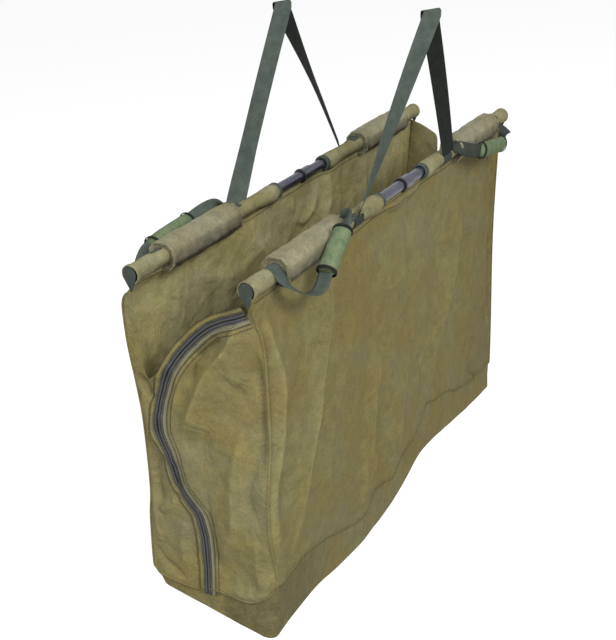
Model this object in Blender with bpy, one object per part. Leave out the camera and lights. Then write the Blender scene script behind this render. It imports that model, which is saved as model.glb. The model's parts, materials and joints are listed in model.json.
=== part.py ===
"""A floating weigh sling for large fish, hanging open from its two webbing straps.

X runs along the poles, Y across the bag, Z is up, in metres. The part is laid out
from the middle of the bag's base, and then moved so that the world's origin is the
underside of the fold at the top of the near weigh strap, where a scale hook lifts it.
The near side of the bag is at -Y and the far side at +Y; left is -X.
"""

import math

import bmesh
import bpy
from mathutils import Vector

for old in list(bpy.data.objects):
    bpy.data.objects.remove(old, do_unlink=True)

# Overall sizes of the bag
sling_length = 1.20  # from sleeve end to sleeve end
bag_inset = 0.030  # the bag's end lies this far inside its sleeves' ends
rail_spacing = 0.234  # between the two pole axes as the sling hangs
rail_height = 0.693  # of the pole axes above the underside of the base
base_width = 0.249
base_shift = 0.030  # the bag hangs this far towards the far side
band_height = 0.052  # the low wall sewn round the base
cloth = 0.002  # thickness of the coated cloth, with its seams
base_corner_radius = 0.022
seam_gap = 0.0003  # between two pieces that are sewn or lie together
swing_gap = 0.0006  # between a swinging piece and the seam that it swings on

# Poles and their joint
pole_radius = 0.011
pole_wall = 0.0014
pole_end_inset = 0.055  # from the sleeve's end to the left pole's end: room to part the joint
fixed_pole_end_inset = 0.012  # the same for the right pole, which stays in its sleeve
joint_place = 0.005  # where the two halves meet
spigot_length = 0.040
spigot_fit = 0.0004  # radial clearance of the spigot in its socket
collar_length = 0.040
collar_wall = 0.0022
plug_depth = 0.014
plug_rim = 0.003
bare_pole_half = 0.100  # half of the stretch where the poles show between the sleeves

# Sleeves and their trim
sleeve_radius = 0.0150
sleeve_end_wall = 0.0025
hem_width = 0.012
hem_wall = 0.0016
tab_wall = 0.0015
tab_drop = 0.018  # how far the end tab's point hangs below the sleeve
tab_low_deg = -22.0  # where the tab leaves the sleeve's round, from +Y

# Floats
float_length_share = 0.1917  # of the sling's length
float_inset = 0.095  # from the sleeve's end to the float's outer end
float_thickness = 0.056
float_chamfer = 0.014
cover_wall = 0.0012
recess_radius = 0.0235
recess_depth = 0.004

# Weigh straps
strap_width = 0.038
strap_thickness = 0.0018
strap_foot_gap = 0.007  # between the strap's foot and the handle's webbing
strap_rise = 0.365  # from the pole's axis to the fold's underside
near_strap_lean = 0.083  # how far the fold stands outside the near pole
far_strap_lean = 0.011
strap_fold_radius = 0.010
strap_fold_turn_deg = -58.0  # the webbing's width at the fold, turned from X about Z
anchor_rise = 0.007  # the sewn foot's height above the pole's axis
anchor_wrap_deg = 34.0  # how far the sewn foot wraps down round the sleeve

# Carrying handles
handle_webbing = 0.030
handle_thickness = 0.0018
handle_reach = 0.066  # how far the hanging handle stands from the pole's axis
grip_width = 0.038
grip_depth = 0.027
grip_slot_gap = 0.0009
band_start_deg = 82.0  # where the handle's ends begin, round the sleeve from its inner side
outer_band_deg = 174.0  # where the outer end leaves the sleeve
inner_band_deg = 154.0  # where the inner end leaves the sleeve

# Zips in the end panels
zip_centre_in = 0.0558  # the arc's centre lies this far outside the near pole's axis
zip_centre_height = 0.3889
zip_arc_radius = 0.2648
zip_arc_top_deg = 71.0
zip_lower_swing = 0.064  # how far the zip comes back towards the near side lower down
zip_low_height = 0.190
zip_foot_swing = 0.012
tape_width = 0.026
tape_thickness = 0.0012
coil_width = 0.008
coil_height = 0.0016
half_gap = 0.0024  # between the two halves of an end panel, under the coil

# Zip sliders and their pulls
slider_start_deg = 65.0
slider_length = 0.017
slider_width = 0.013
slider_height = 0.0045
pull_length = 0.034
pull_width = 0.008
pull_thickness = 0.0016
pin_radius = 0.0011

# End panel tops, as shares
far_top_share = 0.93  # of the rail height, where the end panel leaves the far side
# Where each slack top edge meets the zip, as a share of the arc's top angle
slack_shares = {"left": 0.45, "right": 0.63}
# Points along the slack edges: shares of the way from the far corner to that meeting point,
# first across and then down (past 1 the edge hangs lower than the meeting point)
slack_edge_shares = {
    "left": ((0.08, 0.40), (0.10, 0.88), (0.11, 1.34), (0.26, 1.54), (0.62, 1.30), (0.85, 1.16)),
    "right": ((0.18, 0.14), (0.40, 0.42), (0.70, 0.74)),
}

# How finely round and curved pieces are divided
round_steps = 12
curve_steps = 4
tube_steps = 20
corner_steps = 4
sharp_edge_deg = 40.0

# Places that follow from the sizes
near_rail = -rail_spacing / 2
far_rail = rail_spacing / 2
near_edge = base_shift - base_width / 2
far_edge = base_shift + base_width / 2
panel_foot = band_height + swing_gap
sleeve_end = sling_length / 2
half_bag = sleeve_end - bag_inset
float_length = sling_length * float_length_share
float_outer = sleeve_end - float_inset
float_inner = float_outer - float_length
strap_foot_place = float_inner - handle_webbing - strap_foot_gap - strap_width / 2
hang_point = Vector((0, near_rail - near_strap_lean, rail_height + strap_rise))


def make_material(name, colour, roughness, metallic=0.0):
    """A plain Principled material in one of the sling's colours."""
    material = bpy.data.materials.new(name)
    material.use_nodes = True
    shader = material.node_tree.nodes["Principled BSDF"]
    shader.inputs["Base Color"].default_value = (*colour, 1.0)
    shader.inputs["Roughness"].default_value = roughness
    shader.inputs["Metallic"].default_value = metallic
    material.diffuse_color = (*colour, 1.0)
    return material


olive_cloth = make_material("olive_cloth", (0.202, 0.172, 0.072), 0.75)
sleeve_cloth = make_material("sleeve_cloth", (0.275, 0.250, 0.130), 0.75)
float_cloth = make_material("float_cloth", (0.250, 0.220, 0.140), 0.6)
foam = make_material("foam", (0.060, 0.060, 0.060), 0.9)
webbing_green = make_material("webbing_green", (0.090, 0.105, 0.088), 0.65)
grip_green = make_material("grip_green", (0.143, 0.215, 0.100), 0.85)
pole_metal = make_material("pole_metal", (0.100, 0.115, 0.135), 0.35, 0.9)
black_plastic = make_material("black_plastic", (0.020, 0.020, 0.020), 0.45)
zip_grey = make_material("zip_grey", (0.060, 0.062, 0.056), 0.6)
zip_metal = make_material("zip_metal", (0.080, 0.078, 0.072), 0.4, 0.8)


# The moving bodies: an empty on each joint's axis, in the sling's own coordinates
bodies = {}
pivots = {}


def add_body(name, parent, pivot):
    """Make the empty that a moving body hangs on."""
    empty = bpy.data.objects.new(name + "_pivot", None)
    bpy.context.collection.objects.link(empty)
    pivots[name] = Vector(pivot)
    if parent:
        empty.parent = bodies[parent]
        empty.location = pivots[name] - pivots[parent]
    else:
        empty.location = pivots[name] - hang_point
    bodies[name] = empty


def keep(mesh_data, name, body, material, smooth=False):
    """Turn a finished bmesh into a named object on its body."""
    bmesh.ops.recalc_face_normals(mesh_data, faces=mesh_data.faces)
    bmesh.ops.translate(mesh_data, verts=mesh_data.verts, vec=-pivots[body])
    mesh = bpy.data.meshes.new(name)
    mesh_data.to_mesh(mesh)
    mesh_data.free()
    mesh.materials.append(material)
    if smooth:
        mesh.shade_smooth()
        mesh.set_sharp_from_angle(angle=math.radians(sharp_edge_deg))
    piece = bpy.data.objects.new(name, mesh)
    bpy.context.collection.objects.link(piece)
    piece.parent = bodies[body]
    return piece


def loft(rings, closed=False):
    """Skin a row of equal rings of points; a closed loft joins the last to the first."""
    mesh_data = bmesh.new()
    rows = [[mesh_data.verts.new(point) for point in ring] for ring in rings]
    count = len(rows[0])
    pairs = list(zip(rows, rows[1:]))
    if closed:
        pairs.append((rows[-1], rows[0]))
    for lower, upper in pairs:
        for i in range(count):
            j = (i + 1) % count
            mesh_data.faces.new((lower[i], lower[j], upper[j], upper[i]))
    if not closed:
        mesh_data.faces.new(reversed(rows[0]))
        mesh_data.faces.new(rows[-1])
    return mesh_data


def plate(outline, depth):
    """Extrude a flat outline of points along the vector depth."""
    mesh_data = bmesh.new()
    face = mesh_data.faces.new([mesh_data.verts.new(point) for point in outline])
    grown = bmesh.ops.extrude_face_region(mesh_data, geom=[face])
    top = [item for item in grown["geom"] if isinstance(item, bmesh.types.BMVert)]
    bmesh.ops.translate(mesh_data, verts=top, vec=depth)
    return mesh_data


def circle(x, y, z, radius, steps=tube_steps):
    """A ring of points round the X direction."""
    ring = []
    for i in range(steps):
        turn = math.tau * i / steps
        ring.append(Vector((x, y + radius * math.cos(turn), z + radius * math.sin(turn))))
    return ring


def turned(profile, y, z, closed=False):
    """Turn a profile of (x, radius) pairs round a pole's axis."""
    return loft([circle(x, y, z, radius) for x, radius in profile], closed)


def eight_sided(x, y, z, half, chamfer):
    """The float's section, with a point in the middle of each side and chamfer."""
    flat = half - chamfer
    corner = half - chamfer / 2
    quarter = [(half, 0), (half, flat), (corner, corner), (flat, half)]
    ring = []
    for turn in range(4):
        for across, up in quarter:
            for _ in range(turn):
                across, up = -up, across
            ring.append(Vector((x, y + across, z + up)))
    return ring


def sixteen_round(x, y, z, radius, half, chamfer):
    """A circle whose points lie in the directions of the eight-sided section's."""
    ring = []
    for point in eight_sided(x, y, z, half, chamfer):
        out = Vector((0, point.y - y, point.z - z)).normalized()
        ring.append(Vector((x, y, z)) + out * radius)
    return ring


def round_pole(y, z, radius, turn_deg):
    """A direction and a point round a pole, by the angle from +Y."""
    out = Vector((0, math.cos(math.radians(turn_deg)), math.sin(math.radians(turn_deg))))
    return out, Vector((0, y, z)) + out * radius


def ribbon(points, sides, width, thickness, level_ends=False):
    """A strip of webbing along points, its width lying along the matching side vectors.

    Level ends are cut off level, as where a slanting strap leaves a seam.
    """
    rings = []
    last = len(points) - 1
    for i, point in enumerate(points):
        along = (points[min(i + 1, last)] - points[max(i - 1, 0)]).normalized()
        side = (sides[i] - along * sides[i].dot(along)).normalized()
        face = along.cross(side)
        ring = []
        for across, through in ((-1, -1), (1, -1), (1, 1), (-1, 1)):
            corner = point + side * across * width / 2 + face * through * thickness / 2
            if level_ends and i in (0, last):
                corner -= along * (corner.z - point.z) / along.z
            ring.append(corner)
        rings.append(ring)
    return loft(rings)


def smooth_share(share):
    """Ease from 0 to 1."""
    share = min(max(share, 0.0), 1.0)
    return share * share * (3 - 2 * share)


def curve_through(knots, steps):
    """A smooth curve through the knots, with some steps in each span."""
    points = []
    padded = [2 * knots[0] - knots[1], *knots, 2 * knots[-1] - knots[-2]]
    for a, b, c, d in zip(padded, padded[1:], padded[2:], padded[3:]):
        for i in range(steps):
            t = i / steps
            bend = (2 * a - 5 * b + 4 * c - d) * t * t + (3 * b - a - 3 * c + d) * t ** 3
            points.append((2 * b + (c - a) * t + bend) / 2)
    points.append(knots[-1].copy())
    return points


# Bodies that stay with the bag or swing on it
add_body("bag", None, (0, 0, 0))
add_body("near_side", "bag", (0, near_edge + cloth / 2, panel_foot))
add_body("far_side", "bag", (0, far_edge - cloth / 2, panel_foot))


def make_base():
    """The boxed base: a floor with its low band turned up all round."""
    mesh_data = bmesh.new()
    bmesh.ops.create_cube(mesh_data, size=1)
    size = Vector((2 * half_bag, base_width, band_height))
    bmesh.ops.scale(mesh_data, verts=mesh_data.verts, vec=size)
    middle = Vector((0, base_shift, band_height / 2))
    bmesh.ops.translate(mesh_data, verts=mesh_data.verts, vec=middle)
    upright = [edge for edge in mesh_data.edges if is_upright(edge)]
    bmesh.ops.bevel(mesh_data, geom=upright, offset=base_corner_radius, segments=corner_steps,
                    profile=0.5, affect="EDGES", material=-1)
    top = max(mesh_data.faces, key=lambda face: face.calc_center_median().z)
    bmesh.ops.inset_region(mesh_data, faces=[top], thickness=cloth, use_even_offset=True)
    sunk = bmesh.ops.extrude_face_region(mesh_data, geom=[top])
    floor = [item for item in sunk["geom"] if isinstance(item, bmesh.types.BMVert)]
    bmesh.ops.translate(mesh_data, verts=floor, vec=(0, 0, cloth - band_height))
    bmesh.ops.delete(mesh_data, geom=[top], context="FACES_ONLY")
    keep(mesh_data, "base_tray", "bag", olive_cloth)


def is_upright(edge):
    """Whether an edge stands straight up."""
    first, second = edge.verts
    return abs(first.co.x - second.co.x) + abs(first.co.y - second.co.y) < seam_gap


# The zip's line on an end panel
zip_centre = Vector((0, near_rail - zip_centre_in, zip_centre_height))


def zip_arc_point(turn_deg, radius=zip_arc_radius):
    """A point on the zip's upper arc, by its angle from +Y."""
    turn = math.radians(turn_deg)
    return zip_centre + Vector((0, math.cos(turn), math.sin(turn))) * radius


def zip_line(start_deg):
    """Points down the middle of the zip: its arc, then the sweep down to the base."""
    arc_steps = 12
    low_steps = 7
    points = [zip_arc_point(start_deg * (1 - i / arc_steps)) for i in range(arc_steps + 1)]
    arc_foot = points[-1]
    for i in range(1, low_steps + 1):
        share = i / low_steps
        height = zip_centre_height + (zip_low_height - zip_centre_height) * share
        swing = zip_lower_swing * smooth_share(share)
        points.append(Vector((0, arc_foot.y - swing, height)))
    for i in range(1, low_steps + 1):
        share = i / low_steps
        height = zip_low_height + (panel_foot - zip_low_height) * share
        swing = zip_lower_swing - zip_foot_swing * smooth_share(share)
        points.append(Vector((0, arc_foot.y - swing, height)))
    return points


def moved_aside(points, distance):
    """The same line, moved towards the near side in the end panel's plane."""
    moved = []
    last = len(points) - 1
    for i, point in enumerate(points):
        along = (points[min(i + 1, last)] - points[max(i - 1, 0)]).normalized()
        moved.append(point + along.cross(Vector((1, 0, 0))) * distance)
    return moved


def side_edge_at(height, foot, rail):
    """How far across a side panel's outer face stands at a height."""
    share = (height - panel_foot) / (rail_height - panel_foot)
    return foot + (rail - foot) * share


def make_end(name, end):
    """One end panel in two halves, and the zip that joins them."""
    inner = Vector((end * (half_bag - cloth), 0, 0))
    depth = Vector((end * cloth, 0, 0))
    line = zip_line(zip_arc_top_deg)
    near_line = moved_aside(line, half_gap / 2)
    far_line = moved_aside(line, -half_gap / 2)
    near_face = near_rail - cloth / 2
    far_face = far_rail + cloth / 2
    near_top_height = near_line[0].z
    near_half = [
        Vector((0, near_edge, panel_foot)),
        Vector((0, side_edge_at(near_top_height, near_edge, near_face), near_top_height)),
    ]
    near_half += near_line
    keep(plate([p + inner for p in near_half], depth), name + "_gusset_near", "bag", olive_cloth)

    meet_height = zip_arc_point(zip_arc_top_deg * slack_shares[name]).z
    far_half = [p for p in far_line if p.z < meet_height]
    meet = far_half[0]
    far_top_height = rail_height * far_top_share
    far_half.append(Vector((0, far_edge, panel_foot)))
    far_corner = Vector((0, side_edge_at(far_top_height, far_edge, far_face), far_top_height))
    far_half.append(far_corner)
    for across_share, down_share in slack_edge_shares[name]:
        across = far_corner.y + (meet.y - far_corner.y) * across_share
        height = far_corner.z + (meet.z - far_corner.z) * down_share
        far_half.append(Vector((0, across, height)))
    keep(plate([p + inner for p in far_half], depth), name + "_gusset_far", "bag", olive_cloth)

    face = end * (half_bag + seam_gap)
    tape_top = end * tape_thickness
    coil_top = end * (tape_thickness + coil_height)
    section = ((-tape_width / 2, 0), (tape_width / 2, 0), (tape_width / 2, tape_top),
               (coil_width / 2, tape_top), (coil_width / 2, coil_top),
               (-coil_width / 2, coil_top), (-coil_width / 2, tape_top),
               (-tape_width / 2, tape_top))
    columns = [(moved_aside(line, across), out) for across, out in section]
    rings = []
    for i in range(len(line)):
        rings.append([points[i] + Vector((face + out, 0, 0)) for points, out in columns])
    keep(loft(rings), name + "_zip", "bag", zip_grey)
    make_slider(name, end, face + coil_top)


def make_slider(name, end, face):
    """The slider near the top of the zip, and its hanging pull.

    The zip's top is sewn to the near side's end, so the slider swings with the near side.
    """
    body = name + "_slider"
    add_body(body, "near_side", zip_centre + Vector((face, 0, 0)))
    middle = zip_arc_point(slider_start_deg)
    turn = math.radians(slider_start_deg)
    out = Vector((0, math.cos(turn), math.sin(turn)))
    along = Vector((0, math.sin(turn), -math.cos(turn)))
    lift = Vector((end, 0, 0))
    corner_share = 0.35
    half_long = slider_length / 2
    half_wide = slider_width / 2
    cut = half_wide * corner_share
    outline = []
    for a, o in ((-half_long, -half_wide), (half_long - cut, -half_wide),
                 (half_long, -half_wide + cut), (half_long, half_wide - cut),
                 (half_long - cut, half_wide), (-half_long, half_wide)):
        outline.append(middle + along * a + out * o + Vector((face, 0, 0)) + lift * seam_gap)
    keep(plate(outline, lift * slider_height), name + "_zip_slider", body, zip_metal)

    # The pull hangs straight down from the bridge on the slider's face
    pull_body = name + "_pull"
    pin_stand = pin_radius * math.sqrt(2) + seam_gap
    pin = middle + Vector((face, 0, 0)) + lift * (seam_gap + slider_height + pin_stand)
    add_body(pull_body, body, pin)
    down = Vector((0, 0, -1))
    across = Vector((0, 1, 0))
    wide = pull_width / 2
    top = -pin_radius
    outline = []
    for d, a in ((top, -wide), (top, wide), (pull_length, wide), (pull_length, -wide)):
        outline.append(pin + down * d + across * a - lift * pin_radius)
    keep(plate(outline, lift * pull_thickness), name + "_zip_pull", pull_body, zip_metal)


def make_side(side, rail, edge, outward):
    """One long side: its wall, and everything on its pole."""
    body = side + "_side"
    top = rail_height - sleeve_radius - seam_gap
    half = half_bag - cloth - seam_gap
    foot_y = edge - outward * cloth
    top_y = rail
    thick = Vector((0, outward * cloth, 0))

    # The wall's top edge steps down under each float
    notch = rail_height - float_thickness / 2 - seam_gap
    notch_out = float_outer + seam_gap
    notch_in = float_inner - seam_gap
    top_line = [(half, top), (notch_out, top), (notch_out, notch), (notch_in, notch),
                (notch_in, top), (-notch_in, top), (-notch_in, notch), (-notch_out, notch),
                (-notch_out, top), (-half, top)]
    wall = [Vector((-half, foot_y, panel_foot)), Vector((half, foot_y, panel_foot))]
    for x, z in top_line:
        wall.append(Vector((x, side_edge_at(z, foot_y, top_y - outward * cloth / 2), z)))
    keep(plate(wall, thick), side + "_side_panel", body, olive_cloth)

    # The right half of the pole stays with the side; the left half slides out of it
    slide_body = side + "_pole"
    add_body(slide_body, body, (joint_place, rail, rail_height))
    bore = pole_radius - pole_wall
    spigot = bore - spigot_fit
    left_end = -sleeve_end + pole_end_inset
    right_end = sleeve_end - fixed_pole_end_inset
    left_face = joint_place - seam_gap
    left_profile = [
        (left_end, bore), (left_end, pole_radius), (left_face, pole_radius),
        (left_face, spigot), (joint_place + spigot_length, spigot),
        (joint_place + spigot_length, spigot - pole_wall),
        (left_face - 2 * pole_wall, spigot - pole_wall), (left_face - 2 * pole_wall, bore),
    ]
    keep(turned(left_profile, rail, rail_height, True), side + "_pole_left", slide_body,
         pole_metal, smooth=True)
    right_profile = [
        (joint_place, bore), (joint_place, pole_radius), (right_end, pole_radius), (right_end, bore),
    ]
    keep(turned(right_profile, rail, rail_height, True), side + "_pole_right", body,
         pole_metal, smooth=True)
    collar_in = pole_radius + seam_gap
    collar_out = collar_in + collar_wall
    collar_profile = [
        (joint_place, collar_in), (joint_place, collar_out - seam_gap),
        (joint_place + seam_gap, collar_out),
        (joint_place + collar_length - collar_wall, collar_out),
        (joint_place + collar_length, collar_in + seam_gap),
        (joint_place + collar_length, collar_in),
    ]
    keep(turned(collar_profile, rail, rail_height, True), side + "_pole_collar", body,
         pole_metal, smooth=True)
    for name, owner, end_x, way in (("left", slide_body, left_end, -1),
                                    ("right", body, right_end, 1)):
        shank = bore - seam_gap
        plug_profile = [
            (end_x - way * plug_depth, shank), (end_x + way * seam_gap, shank),
            (end_x + way * seam_gap, pole_radius), (end_x + way * plug_rim, pole_radius),
        ]
        keep(turned(plug_profile, rail, rail_height), side + "_pole_plug_" + name, owner,
             black_plastic, smooth=True)

    for name, end in (("left", -1), ("right", 1)):
        make_sleeve(side, name, end, rail, body)
        make_float(side, name, end, rail, body)
        make_handle(side, name, end, rail, outward)
    make_weigh_strap(side, rail, outward)


def make_sleeve(side, name, end, rail, body):
    """A cloth sleeve closed at its outer end, its inner hem and its outer tab."""
    inside = pole_radius + seam_gap
    outer_x = end * sleeve_end
    inner_x = end * (bare_pole_half + hem_width + seam_gap)
    closed_x = end * (sleeve_end - sleeve_end_wall)
    profile = [
        (inner_x, inside), (inner_x, sleeve_radius), (outer_x, sleeve_radius), (outer_x, seam_gap),
        (closed_x, seam_gap), (closed_x, inside),
    ]
    keep(turned(profile, rail, rail_height, True), side + "_sleeve_" + name, body,
         sleeve_cloth, smooth=True)
    hem_out = sleeve_radius + hem_wall
    hem_profile = [
        (end * bare_pole_half, inside), (end * bare_pole_half, hem_out),
        (end * (bare_pole_half + hem_width), hem_out),
        (end * (bare_pole_half + hem_width), inside),
    ]
    hem = turned(hem_profile, rail, rail_height, True)
    for vertex in hem.verts:
        floor = rail_height - sleeve_radius
        vertex.co.z = max(vertex.co.z, floor)
    keep(hem, side + "_hem_" + name, body, webbing_green, smooth=True)

    # The tab is a strip of webbing over the sleeve's end, meeting in a point below it
    reach = sleeve_radius + seam_gap
    face_x = outer_x + end * seam_gap
    point_z = rail_height - sleeve_radius - tab_drop
    outline = [Vector((face_x, rail, point_z))]
    tab_steps = 12
    for i in range(tab_steps + 1):
        turn = math.radians(tab_low_deg + (180 - 2 * tab_low_deg) * i / tab_steps)
        outline.append(Vector((face_x, rail + reach * math.cos(turn),
                               rail_height + reach * math.sin(turn))))
    cap = plate(outline, Vector((end * tab_wall, 0, 0)))
    keep(cap, side + "_end_tab_" + name, body, webbing_green)


def make_float(side, name, end, rail, body):
    """A foam float with a bore for the sleeve, inside its sewn cover."""
    half = float_thickness / 2
    widest_step = math.atan2(half - float_chamfer, half)
    hole = (sleeve_radius + seam_gap) / math.cos(widest_step / 2)
    low, high = sorted((end * float_inner, end * float_outer))

    def square(x, inset):
        return eight_sided(x, rail, rail_height, half - inset, float_chamfer)

    def ring(x, radius):
        return sixteen_round(x, rail, rail_height, radius, half, float_chamfer)

    wall = cover_wall
    rings = []
    for face, way in ((high, 1), (low, -1)):
        stop = face - way * recess_depth
        inside = face - way * wall
        inner_stop = stop - way * wall
        outer_rings = [square(face, 0), ring(face, recess_radius), ring(stop, recess_radius),
                       ring(stop, hole)]
        inner_rings = [ring(inner_stop, hole), ring(inner_stop, recess_radius + wall),
                       ring(inside, recess_radius + wall), square(inside, wall)]
        rings += outer_rings + inner_rings if way > 0 else list(reversed(outer_rings + inner_rings))
    keep(loft(rings, closed=True), side + "_float_cover_" + name, body, float_cloth)

    gap = wall + seam_gap
    core = []
    for face, way in ((high, 1), (low, -1)):
        end_x = face - way * gap
        step = face - way * (recess_depth + gap)
        part = [square(end_x, gap), ring(end_x, recess_radius + gap),
                ring(step, recess_radius + gap), ring(step, hole)]
        core += part if way > 0 else list(reversed(part))
    keep(loft(core, closed=True), side + "_float_" + name, body, foam)


def make_weigh_strap(side, rail, outward):
    """The webbing loop that the sling is weighed by, with its two sewn feet."""
    lean = near_strap_lean if side == "near" else far_strap_lean
    stand = sleeve_radius + seam_gap + strap_thickness / 2
    foot = Vector((0, rail + outward * stand, rail_height + anchor_rise + swing_gap))
    hinge = foot + Vector((0, outward * (strap_thickness / 2 + seam_gap / 2), 0))
    side_body = side + "_side"
    add_body(side + "_strap", side_body, hinge)
    for name, end in (("left", -1), ("right", 1)):
        along = Vector((1, 0, 0))
        centre = Vector((end * strap_foot_place, 0, 0))
        points = [centre + foot - Vector((0, 0, swing_gap))]
        wrap_steps = 4
        for i in range(wrap_steps + 1):
            turn = 180 if outward < 0 else 0
            turn -= outward * anchor_wrap_deg * i / wrap_steps
            _, place = round_pole(rail, rail_height, stand, turn)
            points.append(centre + place)
        anchor = ribbon(points, [along] * len(points), strap_width, strap_thickness)
        keep(anchor, side + "_strap_anchor_" + name, side_body, webbing_green)

    # The legs rise from the feet, and twist on their way to the fold at the top
    fold_turn = math.radians(strap_fold_turn_deg)
    fold_side = Vector((math.cos(fold_turn), math.sin(fold_turn), 0))
    fold_across = Vector((-fold_side.y, fold_side.x, 0))
    radius = strap_fold_radius
    top = Vector((0, rail + outward * lean, rail_height + strap_rise))
    fold_middle = top + Vector((0, 0, strap_thickness / 2 - radius))
    straight_steps = 14
    fold_steps = 8
    straight_share = 0.03
    twist_share = 0.9
    legs = {}
    for end in (-1, 1):
        start = foot + Vector((end * strap_foot_place, 0, 0))
        stop = fold_middle + fold_across * (end * radius)
        leg = []
        for i in range(straight_steps + 1):
            share = i / straight_steps
            place = start.lerp(stop, share)
            turn = fold_turn * smooth_share((share - straight_share) / twist_share)
            leg.append((place, Vector((math.cos(turn), math.sin(turn), 0))))
        legs[end] = leg
    run = list(legs[-1])
    for i in range(1, fold_steps):
        turn = math.pi * i / fold_steps
        place = fold_middle - fold_across * radius * math.cos(turn)
        place.z += radius * math.sin(turn)
        run.append((place, fold_side))
    run += list(reversed(legs[1]))
    strap = ribbon([place for place, _ in run], [width for _, width in run],
                   strap_width, strap_thickness, level_ends=True)
    keep(strap, side + "_weigh_strap", side + "_strap", webbing_green)


def make_handle(side, name, end, rail, outward):
    """A webbing handle that hangs outside the float, with a padded grip on it."""
    body = side + "_handle_" + name + "_swing"
    add_body(body, side + "_side", (end * (float_inner + float_outer) / 2, rail, rail_height))
    band = sleeve_radius + seam_gap + handle_thickness / 2
    outer_x = float_outer + seam_gap + handle_webbing / 2
    inner_x = float_inner - seam_gap - handle_webbing / 2
    reach = handle_reach
    # Places along the float as shares of its length, then distance out and angle round the pole
    drop_shares = ((0.00, 0.29, 183), (0.00, 0.43, 190), (0.02, 0.62, 197), (0.12, 0.87, 209),
                   (0.29, 1.00, 218), (0.45, 0.98, 214), (0.64, 0.93, 198), (0.80, 0.90, 182),
                   (0.93, 0.76, 172), (0.98, 0.62, 168), (1.00, 0.45, 165), (1.00, 0.30, 160))
    knots = []
    for share, out_share, turn in drop_shares:
        x = outer_x + (inner_x - outer_x) * share
        knots.append((x, reach * out_share, turn))

    def place(x, radius, turn):
        if outward > 0:
            turn = 180 - turn
        out, point = round_pole(rail, rail_height, radius, turn)
        return point + Vector((end * x, 0, 0)), out

    wrap = []
    wrap_steps = 5
    for i in range(wrap_steps + 1):
        wrap.append(i / wrap_steps)
    outer_wrap = [band_start_deg + (outer_band_deg - band_start_deg) * share for share in wrap]
    inner_wrap = [band_start_deg + (inner_band_deg - band_start_deg) * share for share in wrap]
    route = [(outer_x, band, turn) for turn in outer_wrap]
    route += knots
    route += [(inner_x, band, turn) for turn in reversed(inner_wrap)]
    path = [place(*stop)[0] for stop in route]
    outs = [place(*stop)[1] for stop in route]
    smooth_path = curve_through(path, curve_steps)
    smooth_outs = [v.normalized() for v in curve_through(outs, curve_steps)]
    sides = []
    last = len(smooth_path) - 1
    for i, out in enumerate(smooth_outs):
        along = (smooth_path[min(i + 1, last)] - smooth_path[max(i - 1, 0)]).normalized()
        sides.append(out.cross(along).normalized())
    strap = ribbon(smooth_path, sides, handle_webbing, handle_thickness)
    keep(strap, side + "_handle_" + name, body, webbing_green)

    # The grip is a rolled pad round the middle of the handle
    first = curve_steps * (len(wrap) + 4)
    stop = curve_steps * (len(wrap) + 7)
    outer_rings = []
    inner_rings = []
    slot_wide = handle_webbing / 2 + grip_slot_gap
    slot_deep = handle_thickness / 2 + grip_slot_gap
    for i in range(first, stop + 1):
        along = (smooth_path[i + 1] - smooth_path[i - 1]).normalized()
        out = (smooth_outs[i] - along * smooth_outs[i].dot(along)).normalized()
        wide = out.cross(along)
        outer, inner = [], []
        for k in range(round_steps):
            turn = math.tau * k / round_steps
            across, through = math.cos(turn), math.sin(turn)
            slot_across = max(-1, min(1, across / math.cos(math.tau / round_steps)))
            slot_through = max(-1, min(1, through / math.sin(math.tau / round_steps)))
            outer.append(smooth_path[i] + wide * across * grip_width / 2
                         + out * through * grip_depth / 2)
            inner.append(smooth_path[i] + wide * slot_across * slot_wide
                         + out * slot_through * slot_deep)
        outer_rings.append(outer)
        inner_rings.append(inner)
    grip = loft(outer_rings + list(reversed(inner_rings)), closed=True)
    keep(grip, side + "_grip_" + name, body, grip_green, smooth=True)


make_base()
make_end("left", -1)
make_end("right", 1)
make_side("near", near_rail, near_edge, -1)
make_side("far", far_rail, far_edge, 1)

for name, pivot in pivots.items():
    print(name, "turns or slides at", [round(v, 5) for v in pivot - hang_point])
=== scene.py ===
# %% [markdown]
# # A floating weigh sling, hanging open from its two straps
#
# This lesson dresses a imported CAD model. The CAD gives every piece its place and every
# joint its axis; here each piece gets the cloth, webbing, foam or metal that it is made of.
# Coordinates are counted from the middle of the bag's base: X along the poles (left is
# -X), Y across the bag (near is -Y), Z up. The function `at` turns them into the frame's.

# %% Load the frame
import json
import math

import bmesh
import bpy
import numpy as np
from mathutils import Matrix, Vector, noise


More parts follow.
